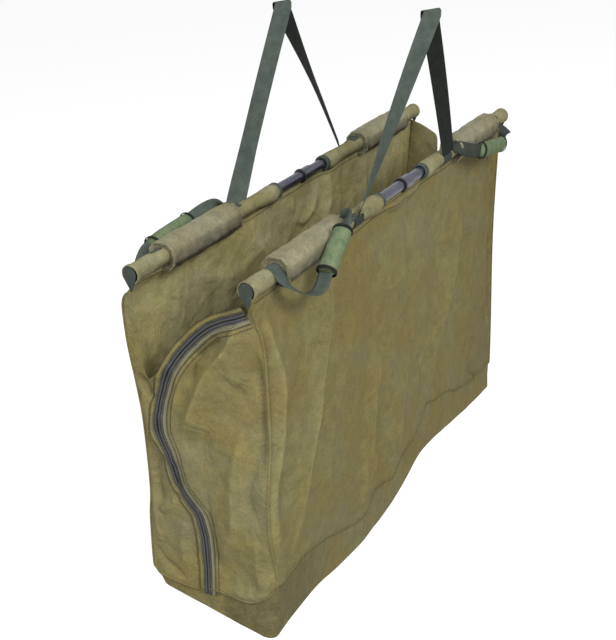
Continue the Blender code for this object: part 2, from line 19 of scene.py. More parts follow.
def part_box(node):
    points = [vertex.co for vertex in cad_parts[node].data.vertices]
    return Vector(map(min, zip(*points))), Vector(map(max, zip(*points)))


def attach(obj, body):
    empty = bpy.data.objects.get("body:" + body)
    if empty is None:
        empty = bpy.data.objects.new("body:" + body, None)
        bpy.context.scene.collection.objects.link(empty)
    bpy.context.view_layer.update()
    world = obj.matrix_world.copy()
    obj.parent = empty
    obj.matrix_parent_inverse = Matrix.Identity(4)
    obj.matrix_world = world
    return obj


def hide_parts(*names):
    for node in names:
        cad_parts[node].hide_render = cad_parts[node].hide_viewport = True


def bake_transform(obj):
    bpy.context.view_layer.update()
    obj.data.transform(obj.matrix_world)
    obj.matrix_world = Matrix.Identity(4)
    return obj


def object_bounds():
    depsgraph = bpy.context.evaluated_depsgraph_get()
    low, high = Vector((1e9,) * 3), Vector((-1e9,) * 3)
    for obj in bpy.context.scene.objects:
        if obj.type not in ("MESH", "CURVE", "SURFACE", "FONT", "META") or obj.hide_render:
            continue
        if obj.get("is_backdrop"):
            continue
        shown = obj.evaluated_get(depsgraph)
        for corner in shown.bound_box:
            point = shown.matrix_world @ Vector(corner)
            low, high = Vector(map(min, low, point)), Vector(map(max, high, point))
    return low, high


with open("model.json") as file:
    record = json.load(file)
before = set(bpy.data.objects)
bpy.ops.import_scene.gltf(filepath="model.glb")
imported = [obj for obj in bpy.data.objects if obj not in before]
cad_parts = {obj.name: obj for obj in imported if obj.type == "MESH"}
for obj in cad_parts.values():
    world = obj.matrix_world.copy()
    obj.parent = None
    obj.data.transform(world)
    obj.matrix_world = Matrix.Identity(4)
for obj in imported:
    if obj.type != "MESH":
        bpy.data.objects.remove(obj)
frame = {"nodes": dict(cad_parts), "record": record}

cad_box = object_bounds()

# %% [markdown]
# ## Measures
#
# The poles' axes, the base, the floats and the straps' feet come from the CAD's own boxes.
# A few common measures of cloth, webbing and thread follow them. Places are counted from
# the boxes, and tables below give what only the look needs, such as folds.

# %% Read the poles' axes and the base's height
near_pole_low, near_pole_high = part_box("near_pole_right")
far_pole_low, far_pole_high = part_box("far_pole_right")
sleeve_low, sleeve_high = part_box("near_sleeve_left")
float_low, float_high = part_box("near_float_cover_right")
anchor_low, anchor_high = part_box("near_strap_anchor_right")
pole_radius = (near_pole_high.y - near_pole_low.y) / 2
middle_across = (near_pole_low.y + near_pole_high.y + far_pole_low.y + far_pole_high.y) / 4
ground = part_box("base_tray")[0].z
rail_up = (near_pole_low.z + near_pole_high.z) / 2 - ground
near_rail = (near_pole_low.y + near_pole_high.y) / 2 - middle_across
far_rail = -near_rail
half_sling = -sleeve_low.x
bare_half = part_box("near_hem_right")[0].x
float_inner, float_outer = float_low.x, float_high.x
float_half = (float_high.y - float_low.y) / 2
sleeve_radius = (sleeve_high.y - sleeve_low.y) / 2
foot_middle = (anchor_low.x + anchor_high.x) / 2
strap_width = anchor_high.x - anchor_low.x
rails = {"near": near_rail, "far": far_rail}
outwards = {"near": -1, "far": 1}
ends = {"left": -1, "right": 1}
world_offset = np.array((0, middle_across, ground))
bag_long, wall_high = 1.15, 0.63  # the cut of a long wall between its seams
cloth_thick, webbing_thick, foot_thick, binding_thick = 0.0012, 0.0016, 0.0018, 0.0008
stitch_long, thread_thick = 0.0036, 0.0009
sharp_deg = 50  # faces that meet at more than this keep a hard edge
print("rails at", round(near_rail, 4), round(far_rail, 4), "up", round(rail_up, 4))


def at(x, across, up):
    """A place in the frame, from a place counted from the middle of the bag's base."""
    return Vector((x, middle_across + across, ground + up))


# %% [markdown]
# ## Curves
#
# Seams, folds and the turns of the straps follow smooth lines through a few places. A
# Catmull-Rom curve passes through each of its knots, so a line goes where its table says.

# %% Draw a smooth line through knots
def smooth_curve(knots, count):
    """Evenly counted points on a smooth curve through the knots."""
    knots = np.array(knots, float)
    padded = np.vstack([2 * knots[0] - knots[1], knots, 2 * knots[-1] - knots[-2]])
    share = np.linspace(0, len(knots) - 1, count)
    span = np.minimum(share.astype(int), len(knots) - 2)
    t = (share - span)[:, None]
    a, b, c, d = (padded[span + i] for i in range(4))
    return (2 * b + (c - a) * t + (2 * a - 5 * b + 4 * c - d) * t ** 2
            + (3 * b - a - 3 * c + d) * t ** 3) / 2


def reader(knots, count=240):
    """A function that reads the second number of a smooth line at a value of its first."""
    line = smooth_curve(knots, count)
    line = line[np.argsort(line[:, 0])]
    return lambda where: np.interp(where, line[:, 0], line[:, 1])


def ease(share):
    """From 0 to 1 with a soft start and stop."""
    share = np.clip(share, 0, 1)
    return share * share * (3 - 2 * share)


def directions(points):
    """The unit direction of a row of points at each point."""
    along = np.gradient(points, axis=0)
    return along / np.linalg.norm(along, axis=1)[:, None]


def line_length(points):
    """How long a row of points is."""
    return float(np.linalg.norm(np.diff(points, axis=0), axis=1).sum())


def at_share(share, count):
    """Which of a row's points stands at each share of it."""
    return np.rint(share * (count - 1)).astype(int)


# %% [markdown]
# ## Grids of cloth
#
# Each panel starts as `bmesh.ops.create_grid` and is then laid out: its two shares along and
# up become a place. The UV map keeps the cut's own metres, so that the weave has
# its real size on every panel. A fourth number, where a panel gives one, is kept as the
# attribute `fold`: it says how much paler or darker the cloth is painted there, mostly as
# painted highlight and painted shade over folds, ribs, grooves and edges, with a dark seam
# on the grips.

# %% Lay out a grid of cloth
def cloth_grid(columns, rows, place, wide, high):
    """A grid whose points go where place puts them, by their shares along and up."""
    cloth = bmesh.new()
    bmesh.ops.create_grid(cloth, x_segments=columns, y_segments=rows, size=0.5)
    flat_map = cloth.loops.layers.uv.new("UVMap")
    tone = cloth.verts.layers.float.new("fold")
    for face in cloth.faces:
        for corner in face.loops:
            corner[flat_map].uv = ((corner.vert.co.x + 0.5) * wide,
                                   (corner.vert.co.y + 0.5) * high)
    shares = np.array([vert.co for vert in cloth.verts]) + 0.5
    laid = place(shares[:, 0], shares[:, 1])
    tones = laid[:, 3] if laid.shape[1] > 3 else np.zeros(len(laid))
    for vert, spot, value in zip(cloth.verts, laid[:, :3] + world_offset, tones):
        vert.co = spot
        vert[tone] = value
    return cloth


def face_towards(mesh, direction):
    """Turn an open sheet's faces over if most of them look away from direction."""
    bmesh.ops.recalc_face_normals(mesh, faces=mesh.faces)
    mesh.normal_update()
    direction = Vector(direction)
    if sum(face.normal.dot(direction) * face.calc_area() for face in mesh.faces) < 0:
        bmesh.ops.reverse_faces(mesh, faces=mesh.faces)


def close_round(mesh, capped=False):
    """Weld a tube's seam, close its ends if asked, and turn its faces outwards."""
    bmesh.ops.remove_doubles(mesh, verts=mesh.verts, dist=1e-5)
    if capped:
        bmesh.ops.holes_fill(mesh, edges=[e for e in mesh.edges if e.is_boundary])
    bmesh.ops.recalc_face_normals(mesh, faces=mesh.faces)


def finish_piece(mesh, name, materials, body=None, replaced=(), thick=None, offset=0.0):
    """Make the named object, with its materials, body and thickness, and hide the nodes it
    stands for.
    """
    data = bpy.data.meshes.new(name)
    mesh.to_mesh(data)
    mesh.free()
    materials = materials if isinstance(materials, tuple) else (materials,)
    for material in materials:
        data.materials.append(material)
    data.shade_smooth()
    data.set_sharp_from_angle(angle=math.radians(sharp_deg))
    piece = bpy.data.objects.new(name, data)
    bpy.context.scene.collection.objects.link(piece)
    if thick:
        wall = piece.modifiers.new("thickness", "SOLIDIFY")
        wall.thickness = thick
        wall.offset = offset
    if body:
        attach(piece, body)
    if replaced:
        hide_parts(*replaced)
    print(name, len(data.polygons), "faces")
    return piece


# %% [markdown]
# ## Folds
#
# A fold is a line on a panel with a height, and with a width on each of its two sides: the
# cloth rises slowly on one and drops sharply on the other where it is pulled aslant. All
# folds of a panel are added up, and the sum moves the cloth along its outward direction.
# Each fold also carries a painted tone along its line: painted highlight where the fold
# stands out towards the side that is seen, painted shade where it sinks in.

# %% Lift cloth along fold lines
fold_points = 22
fold_taper = 0.2  # share of a fold's length over which it runs out at each end
fold_fall = 1.25  # how sharply a fold's sides fall
fold_shading_width = 0.0045


def fold_lift(places, folds):
    """How far the folds lift the cloth at each place, and the painted highlight and shade along
    them.
    """
    lift = np.zeros(len(places))
    tone = np.zeros(len(places))
    for knots, (right_width, left_width), height, fold_shading in folds:
        line = smooth_curve(knots, fold_points)
        lengths = np.linalg.norm(np.diff(line, axis=0), axis=1)
        reached = np.concatenate([[0], np.cumsum(lengths)])
        nearest = np.full(len(places), np.inf)
        share = np.zeros(len(places))
        width = np.ones(len(places))
        for i, (first, second) in enumerate(zip(line, line[1:])):
            run = second - first
            aside = places - first
            along = np.clip(aside @ run / (run @ run), 0, 1)
            gap = np.linalg.norm(aside - along[:, None] * run, axis=1)
            closer = gap < nearest
            turn = run[0] * aside[:, 1] - run[1] * aside[:, 0]
            nearest[closer] = gap[closer]
            share[closer] = ((reached[i] + along * lengths[i]) / reached[-1])[closer]
            width[closer] = np.where(turn > 0, right_width, left_width)[closer]
        taper = ease(share / fold_taper) * ease((1 - share) / fold_taper)
        lift += height * taper * np.exp(-(nearest / width) ** fold_fall)
        # Painted light: a pale line along a fold that stands out, a dark line along one that
        # sinks in.
        tone += fold_shading * taper * np.exp(-(nearest / fold_shading_width) ** 2)
    return lift, tone


def ripple(points, size, seed):
    """A soft random swell between -1 and 1 over some points."""
    return np.array([noise.noise(Vector(p) / size + Vector((seed, seed, seed)))
                     for p in points])


# %% [markdown]
# ## Node helpers
#
# A procedural finish is a small chain of nodes. A few short helpers keep the chains
# readable: they add a node with its settings, join sockets, mix tones and stack bumps.

# %% Add and join shader nodes
def add_node(tree, kind, inputs=None, **settings):
    """A node of a kind, with attributes and input values set."""
    made = tree.nodes.new("ShaderNode" + kind)
    for key, value in settings.items():
        setattr(made, key, value)
    for key, value in (inputs or {}).items():
        made.inputs[key].default_value = value
    return made


def new_material(name, roughness, metallic=0.0, specular=0.5):
    """A Principled material and its parts."""
    material = bpy.data.materials.new(name)
    material.use_nodes = True
    shader = material.node_tree.nodes["Principled BSDF"]
    shader.inputs["Roughness"].default_value = roughness
    shader.inputs["Metallic"].default_value = metallic
    shader.inputs["Specular IOR Level"].default_value = specular
    return material, material.node_tree, shader


def noise_over(tree, vector, scale, detail=4.0, roughness=0.6, distortion=0.0):
    """A noise's factor over a vector."""
    made = add_node(tree, "TexNoise", {"Scale": scale, "Detail": detail,
                                       "Roughness": roughness, "Distortion": distortion})
    tree.links.new(vector, made.inputs["Vector"])
    return made.outputs["Fac"]


def wave_over(tree, vector, direction, scale, distortion, inputs=None):
    """A row of waves over a vector, across one of its directions."""
    made = add_node(tree, "TexWave", {"Scale": scale, "Distortion": distortion,
                                      **(inputs or {})}, bands_direction=direction)
    tree.links.new(vector, made.inputs["Vector"])
    return made.outputs["Fac"]


def painted_shading_and_tone(tree):
    """The attribute `fold`: painted highlight and shade, with the tone of a few seams."""
    return add_node(tree, "Attribute", attribute_name="fold").outputs["Fac"]


def two_tone(tree, factor, first, second):
    """Mix two colours by a factor's output."""
    mix = add_node(tree, "Mix", data_type="RGBA")
    tree.links.new(factor, mix.inputs["Factor"])
    mix.inputs["A"].default_value = (*first, 1)
    mix.inputs["B"].default_value = (*second, 1)
    return mix.outputs["Result"]


def ranged(tree, value, low, high, to_low, to_high):
    """Stretch a value's range."""
    stretch = add_node(tree, "MapRange", {"From Min": low, "From Max": high,
                                          "To Min": to_low, "To Max": to_high})
    tree.links.new(value, stretch.inputs["Value"])
    return stretch.outputs["Result"]


def combined(tree, operation, first, second):
    """Two outputs put together by a sum or another operation."""
    total = add_node(tree, "Math", operation=operation)
    tree.links.new(first, total.inputs[0])
    if isinstance(second, float):
        total.inputs[1].default_value = second
    else:
        tree.links.new(second, total.inputs[1])
    return total.outputs[0]


def shaded(tree, colour, parts):
    """A colour times one plus some outputs."""
    total = parts[0]
    for part in parts[1:]:
        total = combined(tree, "ADD", total, part)
    mix = add_node(tree, "Mix", {"Factor": 1.0}, data_type="RGBA", blend_type="MULTIPLY")
    tree.links.new(colour, mix.inputs["A"])
    tree.links.new(combined(tree, "ADD", total, 1.0), mix.inputs["B"])
    return mix.outputs["Result"]


def crease_lines(tree, vector, scale, thin):
    """Thin crooked lines, where a noise crosses its middle."""
    swell = noise_over(tree, vector, scale, 2.0, 0.5, 1.4)
    off = combined(tree, "ADD", swell, -0.5)
    size = add_node(tree, "Math", operation="ABSOLUTE")
    tree.links.new(off, size.inputs[0])
    return ranged(tree, size.outputs[0], 0.0, thin, 1.0, 0.0)


def bumped(tree, shader, steps):
    """Stack bumps: (height output, strength, distance) from the largest to the finest."""
    before = None
    for height, strength, distance in steps:
        bump = add_node(tree, "Bump", {"Strength": strength, "Distance": distance})
        tree.links.new(height, bump.inputs["Height"])
        if before:
            tree.links.new(before, bump.inputs["Normal"])
        before = bump.outputs["Normal"]
    tree.links.new(before, shader.inputs["Normal"])


# %% [markdown]
# ## The bag's coated cloth
#
# The panels are matt coated nylon. Close to, it has a fine plain weave; from further away
# its dye shifts between grey green and ochre, and it is full of faint creases that have
# rubbed pale. A broad noise makes the shift, two finer ones the mottling, and thin lines
# where a noise crosses its middle make the creases. The attribute `fold` adds the painted
# highlight and shade that the pieces carry.

# %% Make the cloth finishes
def cloth_material(name, green, ochre, contrast=1.0, crease=0.5):
    """Coated cloth that shifts between two tones, with creases and a weave."""
    material, tree, shader = new_material(name, 0.82, specular=0.22)
    links = tree.links
    place = add_node(tree, "TexCoord")
    spot = place.outputs["Object"]
    shift = ranged(tree, noise_over(tree, spot, 6.5, 3.0, 0.55, 0.5), 0.40, 0.62, 0.0, 1.0)
    mottle = noise_over(tree, spot, 42.0, 5.0, 0.62)
    fine = noise_over(tree, spot, 210.0, 3.0, 0.7)
    lines = crease_lines(tree, spot, 13.0, 0.014)
    broken = ranged(tree, noise_over(tree, spot, 24.0, 3.0), 0.48, 0.62, 0.0, 1.0)
    creased = combined(tree, "MULTIPLY", lines, broken)
    links.new(shaded(tree, two_tone(tree, shift, green, ochre),
                     [ranged(tree, mottle, 0.3, 0.7, -0.16 * contrast, 0.16 * contrast),
                      ranged(tree, fine, 0.25, 0.75, -0.17 * contrast, 0.17 * contrast),
                      ranged(tree, creased, 0, 1, 0, 0.10),
                      painted_shading_and_tone(tree)]), shader.inputs["Base Color"])
    links.new(ranged(tree, mottle, 0.3, 0.7, 0.74, 0.9), shader.inputs["Roughness"])
    dents = noise_over(tree, spot, 17.0, 4.0, 0.5, 0.9)
    weave = combined(tree, "ADD", *(wave_over(tree, place.outputs["UV"], direction, 290.0, 0.6)
                                    for direction in "XY"))
    bumped(tree, shader, [(dents, crease, 0.018), (creased, 0.35, 0.0014),
                          (mottle, 0.35, 0.003), (fine, 0.30, 0.0008),
                          (weave, 0.12, 0.0003)])
    return material


olive_cloth = cloth_material("olive_cloth", (0.190, 0.170, 0.074), (0.190, 0.152, 0.052))
# The inside's colour is paler than the outside's, and brightened beyond that as painted light,
# standing in for the light that reaches into the bag.
inner_cloth = cloth_material("inner_cloth", (0.375, 0.345, 0.175), (0.355, 0.308, 0.130))
end_cloth = cloth_material("end_cloth", (0.196, 0.182, 0.090), (0.208, 0.172, 0.062))
sleeve_cloth = cloth_material("sleeve_cloth", (0.262, 0.250, 0.140), (0.225, 0.205, 0.098),
                              1.2, 0.4)
float_cloth = cloth_material("float_cloth", (0.258, 0.246, 0.158), (0.228, 0.204, 0.118),
                             1.2, 0.3)

# %% [markdown]
# ## Webbing, grip, thread and the hard parts
#
# Webbing is woven in coarse ribs across its width. A nearly black copy of it is painted shade
# on the straps' backs and also makes the grips' black bindings; a darker copy is painted shade
# on the tabs, the straps' feet and one handle. The grips are wrapped in a brushed knit with a
# fluffy, uneven pile. The poles are anodised tube, drawn lengthwise, so their fine scratches
# run along. Zips have a dark tape and a coil.

# %% Make the webbing finish
def webbing_material(name, colour, light):
    """Woven polypropylene: ribs over the width, and a paler worn thread here and there."""
    material, tree, shader = new_material(name, 0.85, specular=0.1)
    links = tree.links
    place = add_node(tree, "TexCoord")
    ribs = wave_over(tree, place.outputs["UV"], "X", 150.0, 0.8,
                     {"Detail": 1.0, "Detail Scale": 2.0})
    threads = wave_over(tree, place.outputs["UV"], "Y", 210.0, 0.5)
    weave = combined(tree, "ADD", ribs, threads)
    worn = noise_over(tree, place.outputs["Object"], 55.0, 5.0)
    total = combined(tree, "ADD", ranged(tree, weave, 0, 2, -0.3, 0.3), worn)
    links.new(shaded(tree, two_tone(tree, ranged(tree, total, 0.2, 0.8, 0, 1), colour, light),
                     [painted_shading_and_tone(tree)]), shader.inputs["Base Color"])
    bumped(tree, shader, [(weave, 0.4, 0.0005)])
    return material


webbing = webbing_material("webbing", (0.052, 0.066, 0.054), (0.108, 0.130, 0.110))
# A nearly black copy of the webbing: painted shade on the straps' backs, and the grips' black
# bindings.
black_binding_and_shade_webbing = webbing_material("black_binding_and_shade_webbing", (0.010, 0.012, 0.010), (0.024, 0.028, 0.023))
# A darker copy of the webbing, painted shade: for the end tabs, the straps' feet and the near
# right handle.
shadow_webbing = webbing_material("shadow_webbing", (0.030, 0.036, 0.030),
                                  (0.062, 0.072, 0.060))


# %% Make the brushed grip finish
def grip_material():
    """A brushed green knit with lighter pile."""
    material, tree, shader = new_material("grip_knit", 0.92, specular=0.15)
    links = tree.links
    place = add_node(tree, "TexCoord")
    pile = noise_over(tree, place.outputs["Object"], 420.0, 4.0, 0.7)
    patch = noise_over(tree, place.outputs["Object"], 60.0, 4.0, 0.6)
    tone = two_tone(tree, ranged(tree, combined(tree, "ADD", pile, patch), 0.8, 1.25, 0, 1),
                    (0.108, 0.150, 0.078), (0.200, 0.246, 0.138))
    links.new(shaded(tree, tone, [painted_shading_and_tone(tree)]), shader.inputs["Base Color"])
    bumped(tree, shader, [(patch, 0.5, 0.004), (pile, 0.8, 0.0015)])
    return material


grip_knit = grip_material()


# %% Make the pole, plastic, zip and thread finishes
def worn_material(name, dark, light, roughness, metallic, grain=90.0, stretch=(1, 1, 1)):
    """A hard finish with a drawn grain, a slight shift in tone and uneven gloss."""
    material, tree, shader = new_material(name, roughness, metallic)
    links = tree.links
    place = add_node(tree, "TexCoord")
    turn = add_node(tree, "Mapping", {"Scale": stretch})
    links.new(place.outputs["Object"], turn.inputs["Vector"])
    marks = noise_over(tree, turn.outputs["Vector"], grain, 6.0, 0.65)
    links.new(two_tone(tree, ranged(tree, marks, 0.35, 0.7, 0, 1), dark, light),
              shader.inputs["Base Color"])
    links.new(ranged(tree, marks, 0.3, 0.7, roughness - 0.08, roughness + 0.12),
              shader.inputs["Roughness"])
    bumped(tree, shader, [(marks, 0.12, 0.0004)])
    return material


pole_metal = worn_material("pole_metal", (0.060, 0.060, 0.085), (0.125, 0.125, 0.165), 0.30,
                           0.75, 220.0, (0.15, 1, 1))
black_plastic = worn_material("black_plastic", (0.012, 0.012, 0.013), (0.03, 0.03, 0.032),
                              0.42, 0.0)
zip_metal = worn_material("zip_metal", (0.070, 0.068, 0.064), (0.16, 0.155, 0.15), 0.38, 0.8,
                          300.0)
zip_coil = worn_material("zip_coil", (0.050, 0.051, 0.050), (0.085, 0.086, 0.083), 0.45, 0.0,
                         500.0)
khaki_thread = worn_material("khaki_thread", (0.12, 0.11, 0.055), (0.21, 0.19, 0.11), 0.8,
                             0.0, 900.0)
dark_thread = worn_material("dark_thread", (0.028, 0.026, 0.016), (0.06, 0.055, 0.035), 0.8,
                            0.0, 900.0)
foam_grey = worn_material("foam_grey", (0.05, 0.05, 0.05), (0.08, 0.08, 0.08), 0.9, 0.0,
                          600.0)
zip_tape = webbing_material("zip_tape", (0.040, 0.041, 0.038), (0.080, 0.082, 0.076))
zip_edge = webbing_material("zip_edge", (0.190, 0.178, 0.105), (0.300, 0.285, 0.185))

node_finishes = {"pole_metal": pole_metal, "black_plastic": black_plastic,
                 "foam": foam_grey}
for part in frame["record"]["subparts"]:
    finish = node_finishes.get(part["material_slot"])
    if finish:
        node = frame["nodes"][part["node"]]
        node.data.materials.clear()
        node.data.materials.append(finish)

# %% [markdown]
# ## Seam lines of the bag
#
# These lines are where the panels meet. Each is a short table of places, read along the
# seam: the band's seam and the base's lower edge on both long sides, the band's seam and
# the corner seams at both ends, and the zip's line down the end panel.

# %% Tables of the seams
near_seam_up = reader([(-0.62, 0.092), (-0.575, 0.096), (-0.538, 0.098), (-0.49, 0.104),
                       (-0.42, 0.090), (-0.363, 0.074), (-0.29, 0.045), (-0.224, 0.026),
                       (-0.183, 0.038), (-0.155, 0.060), (-0.10, 0.046), (-0.055, 0.038),
                       (-0.02, 0.062), (0.03, 0.064), (0.08, 0.082), (0.13, 0.122),
                       (0.19, 0.106), (0.26, 0.098), (0.345, 0.060), (0.45, 0.038),
                       (0.53, 0.028), (0.60, 0.028)])
near_edge_up = reader([(-0.62, -0.012), (-0.593, -0.018), (-0.531, -0.012), (-0.425, -0.012),
                       (-0.33, -0.026), (-0.231, -0.038), (-0.15, -0.037), (-0.089, -0.034),
                       (-0.024, -0.025), (0.04, -0.008), (0.104, 0.008), (0.188, 0.004),
                       (0.35, -0.018), (0.50, -0.034), (0.60, -0.038)])
far_edge_up = reader([(-0.62, 0.050), (-0.30, 0.030), (0.0, 0.022), (0.30, 0.020),
                      (0.62, 0.012)])
far_seam_up = reader([(-0.62, 0.085), (-0.30, 0.080), (0.0, 0.070), (0.30, 0.082),
                      (0.62, 0.070)])
end_seams_up = {
    "left": reader([(-0.16, 0.110), (-0.110, 0.096), (-0.092, 0.074), (-0.06, 0.054),
                    (-0.02, 0.056), (0.013, 0.061), (0.035, 0.061), (0.065, 0.053),
                    (0.10, 0.057), (0.138, 0.070), (0.155, 0.085), (0.18, 0.088)]),
    "right": reader([(-0.16, 0.024), (-0.086, 0.028), (0.0, 0.042), (0.10, 0.062),
                     (0.15, 0.070), (0.18, 0.072)]),
}

zip_places = [(0.050, 0.036), (0.095, 0.0345), (0.126, 0.035), (0.155, 0.0325),
              (0.180, 0.032), (0.205, 0.034), (0.228, 0.040), (0.250, 0.058),
              (0.280, 0.079), (0.310, 0.087), (0.337, 0.092), (0.380, 0.106),
              (0.415, 0.1045), (0.445, 0.098), (0.472, 0.088), (0.500, 0.076),
              (0.528, 0.060), (0.551, 0.042), (0.573, 0.020), (0.592, -0.001),
              (0.608, -0.023), (0.621, -0.049), (0.633, -0.080), (0.641, -0.100)]
zip_across = reader(zip_places)
left_near_corner_x = reader([(-0.04, -0.597), (-0.018, -0.595), (0.05, -0.590),
                             (0.11, -0.576), (0.19, -0.586), (0.26, -0.586), (0.33, -0.575),
                             (0.38, -0.564), (0.47, -0.560), (0.537, -0.560),
                             (0.577, -0.563), (0.625, -0.573), (0.650, -0.582),
                             (0.70, -0.594)])
near_corner_across = reader([(-0.04, -0.100), (0.05, -0.103), (0.11, -0.110),
                             (0.188, -0.108), (0.275, -0.110), (0.373, -0.112),
                             (0.47, -0.114), (0.59, -0.117), (0.625, -0.113),
                             (0.70, -0.118)])
left_far_corner_across = reader([(-0.04, 0.148), (0.05, 0.148), (0.085, 0.155),
                                 (0.187, 0.154), (0.262, 0.146), (0.398, 0.141),
                                 (0.467, 0.144), (0.55, 0.151), (0.614, 0.151),
                                 (0.640, 0.147), (0.657, 0.134), (0.672, 0.120),
                                 (0.70, 0.117)])
left_far_corner_x = reader([(-0.04, -0.596), (0.05, -0.598), (0.085, -0.600),
                            (0.187, -0.592), (0.30, -0.588), (0.614, -0.590),
                            (0.70, -0.592)])
right_near_corner_across = reader([(-0.04, -0.085), (0.12, -0.093), (0.39, -0.101),
                                   (0.60, -0.112), (0.70, -0.118)])
right_far_corner_across = reader([(-0.04, 0.150), (0.12, 0.150), (0.39, 0.142),
                                  (0.60, 0.126), (0.70, 0.117)])
right_corner_x = reader([(-0.04, 0.580), (0.12, 0.576), (0.39, 0.574), (0.60, 0.582),
                         (0.70, 0.592)])
wall_top = rail_up - sleeve_radius + 0.001
print("walls reach up to", round(wall_top, 4))

# %% [markdown]
# ## The long walls
#
# Each wall is one cut of cloth that hangs from its pole sleeve and is sewn to the base's
# band. Weight pulls it nearly flat, and the drag towards the two hung corners leaves long
# slanting folds. The near wall's folds are placed one by one; the far wall shows its inside.

# %% Place the near wall
near_folds = [
    ([(-0.544, 0.665), (-0.543, 0.581), (-0.524, 0.492), (-0.540, 0.385), (-0.572, 0.290),
      (-0.578, 0.220), (-0.566, 0.110)], (0.022, 0.012), 0.0095, 0.16),
    ([(-0.562, 0.610), (-0.552, 0.520), (-0.556, 0.400)], (0.010, 0.010), -0.008, -0.10),
    ([(-0.515, 0.480), (-0.508, 0.400), (-0.540, 0.290), (-0.548, 0.180)], (0.016, 0.016),
     -0.006, -0.04),
    ([(-0.322, 0.650), (-0.329, 0.570), (-0.363, 0.493), (-0.404, 0.398), (-0.476, 0.245),
      (-0.553, 0.105)], (0.018, 0.065), 0.014, 0.16),
    ([(-0.280, 0.600), (-0.318, 0.480), (-0.370, 0.340), (-0.450, 0.180)], (0.045, 0.020),
     -0.006, -0.03),
    ([(-0.389, 0.470), (-0.430, 0.330), (-0.480, 0.220), (-0.534, 0.125)], (0.012, 0.012),
     0.003, 0.06),
    ([(-0.499, 0.560), (-0.520, 0.430), (-0.554, 0.306)], (0.008, 0.008), 0.002, 0.05),
    ([(-0.210, 0.540), (-0.285, 0.405), (-0.343, 0.281), (-0.391, 0.110)], (0.030, 0.050),
     0.007, 0.03),
    ([(-0.120, 0.500), (-0.160, 0.350), (-0.200, 0.200), (-0.225, 0.060)], (0.035, 0.035),
     -0.005, 0.0),
    ([(-0.100, 0.380), (-0.140, 0.283), (-0.162, 0.165), (-0.178, 0.060)], (0.012, 0.022),
     0.008, 0.08),
    ([(-0.110, 0.250), (-0.130, 0.160), (-0.142, 0.075)], (0.020, 0.014), -0.006, -0.05),
    ([(0.020, 0.300), (-0.025, 0.190), (-0.053, 0.075)], (0.014, 0.024), 0.007, 0.07),
    ([(0.350, 0.560), (0.257, 0.375), (0.199, 0.300), (0.150, 0.220), (0.124, 0.120)],
     (0.020, 0.055), 0.013, 0.13),
    ([(0.380, 0.500), (0.300, 0.350), (0.230, 0.230)], (0.050, 0.020), -0.008, -0.05),
    ([(0.120, 0.560), (0.060, 0.380), (0.020, 0.220), (-0.020, 0.090)], (0.045, 0.045),
     0.005, 0.0),
    ([(0.450, 0.640), (0.430, 0.500), (0.400, 0.350), (0.370, 0.160)], (0.035, 0.035), 0.006,
     0.03),
    ([(0.512, 0.660), (0.514, 0.500), (0.508, 0.350), (0.500, 0.160)], (0.012, 0.020), 0.007,
     0.09),
    ([(0.548, 0.640), (0.545, 0.450), (0.540, 0.250), (0.545, 0.120)], (0.022, 0.018),
     -0.009, -0.20),
    ([(0.393, 0.095), (0.460, 0.045), (0.530, 0.010)], (0.014, 0.014), -0.006, -0.12),
    ([(-0.100, 0.500), (-0.030, 0.497), (0.030, 0.515)], (0.010, 0.010), 0.003, 0.07),
    ([(0.150, 0.620), (0.200, 0.480), (0.210, 0.360)], (0.030, 0.030), -0.005, 0.0),
    ([(-0.224, 0.010), (-0.218, 0.090), (-0.190, 0.180)], (0.020, 0.034), 0.009, 0.03),
    ([(-0.065, 0.020), (-0.075, 0.100), (-0.070, 0.180)], (0.018, 0.026), 0.008, 0.03),
    ([(0.050, 0.640), (0.030, 0.560), (0.045, 0.480)], (0.018, 0.018), -0.004, -0.03),
    ([(-0.080, 0.672), (-0.020, 0.662), (0.040, 0.664), (0.100, 0.672)], (0.006, 0.010),
     0.006, 0.10),
    ([(-0.070, 0.655), (0.000, 0.645), (0.080, 0.652)], (0.008, 0.008), -0.004, -0.16),
]


near_fold_share = 1.35  # how much further than its table says a fold of this wall stands


def near_wall_place(along, up):
    """Points of the near wall, by shares along and up."""
    flat_x = -bag_long / 2 + along * bag_long
    low = near_seam_up(flat_x)
    z = low + (wall_top - low) * up
    left_x, right_x = left_near_corner_x(z), right_corner_x(z)
    x = left_x + (right_x - left_x) * along
    left_y, right_y = near_corner_across(z), right_near_corner_across(z)
    y = left_y + (right_y - left_y) * along
    body = np.sin(np.pi * np.clip(along, 0, 1)) * np.sin(np.pi * np.clip(up, 0, 1))
    lift, tone = fold_lift(np.column_stack([x, z]), near_folds)
    edge = ease(along / 0.018) * ease((1 - along) / 0.018) * ease((1 - up) / 0.03)
    swell = ripple(np.column_stack([x, y * 0, z * 0.5]), 0.10, 3.0) * 0.006
    swell += ripple(np.column_stack([x, y * 0, z * 0.7]), 0.038, 9.0) * 0.0022
    y = y - body * 0.004 - (lift * near_fold_share + swell) * edge
    # The folds' painted highlight and shade count 1.4 times here; the wall is also painted
    # darker towards its right end and towards its bottom.
    tone = tone * 1.4 - 0.13 * ease((x - 0.28) / 0.24) - 0.05 * ease((0.35 - z) / 0.3)
    return np.column_stack([x, y, z, tone])


near_wall_mesh = cloth_grid(280, 158, near_wall_place, bag_long, wall_high)
face_towards(near_wall_mesh, (0, -1, 0))
near_wall = finish_piece(near_wall_mesh, "near_wall", olive_cloth,
                         replaced=("near_side_panel",), thick=cloth_thick)


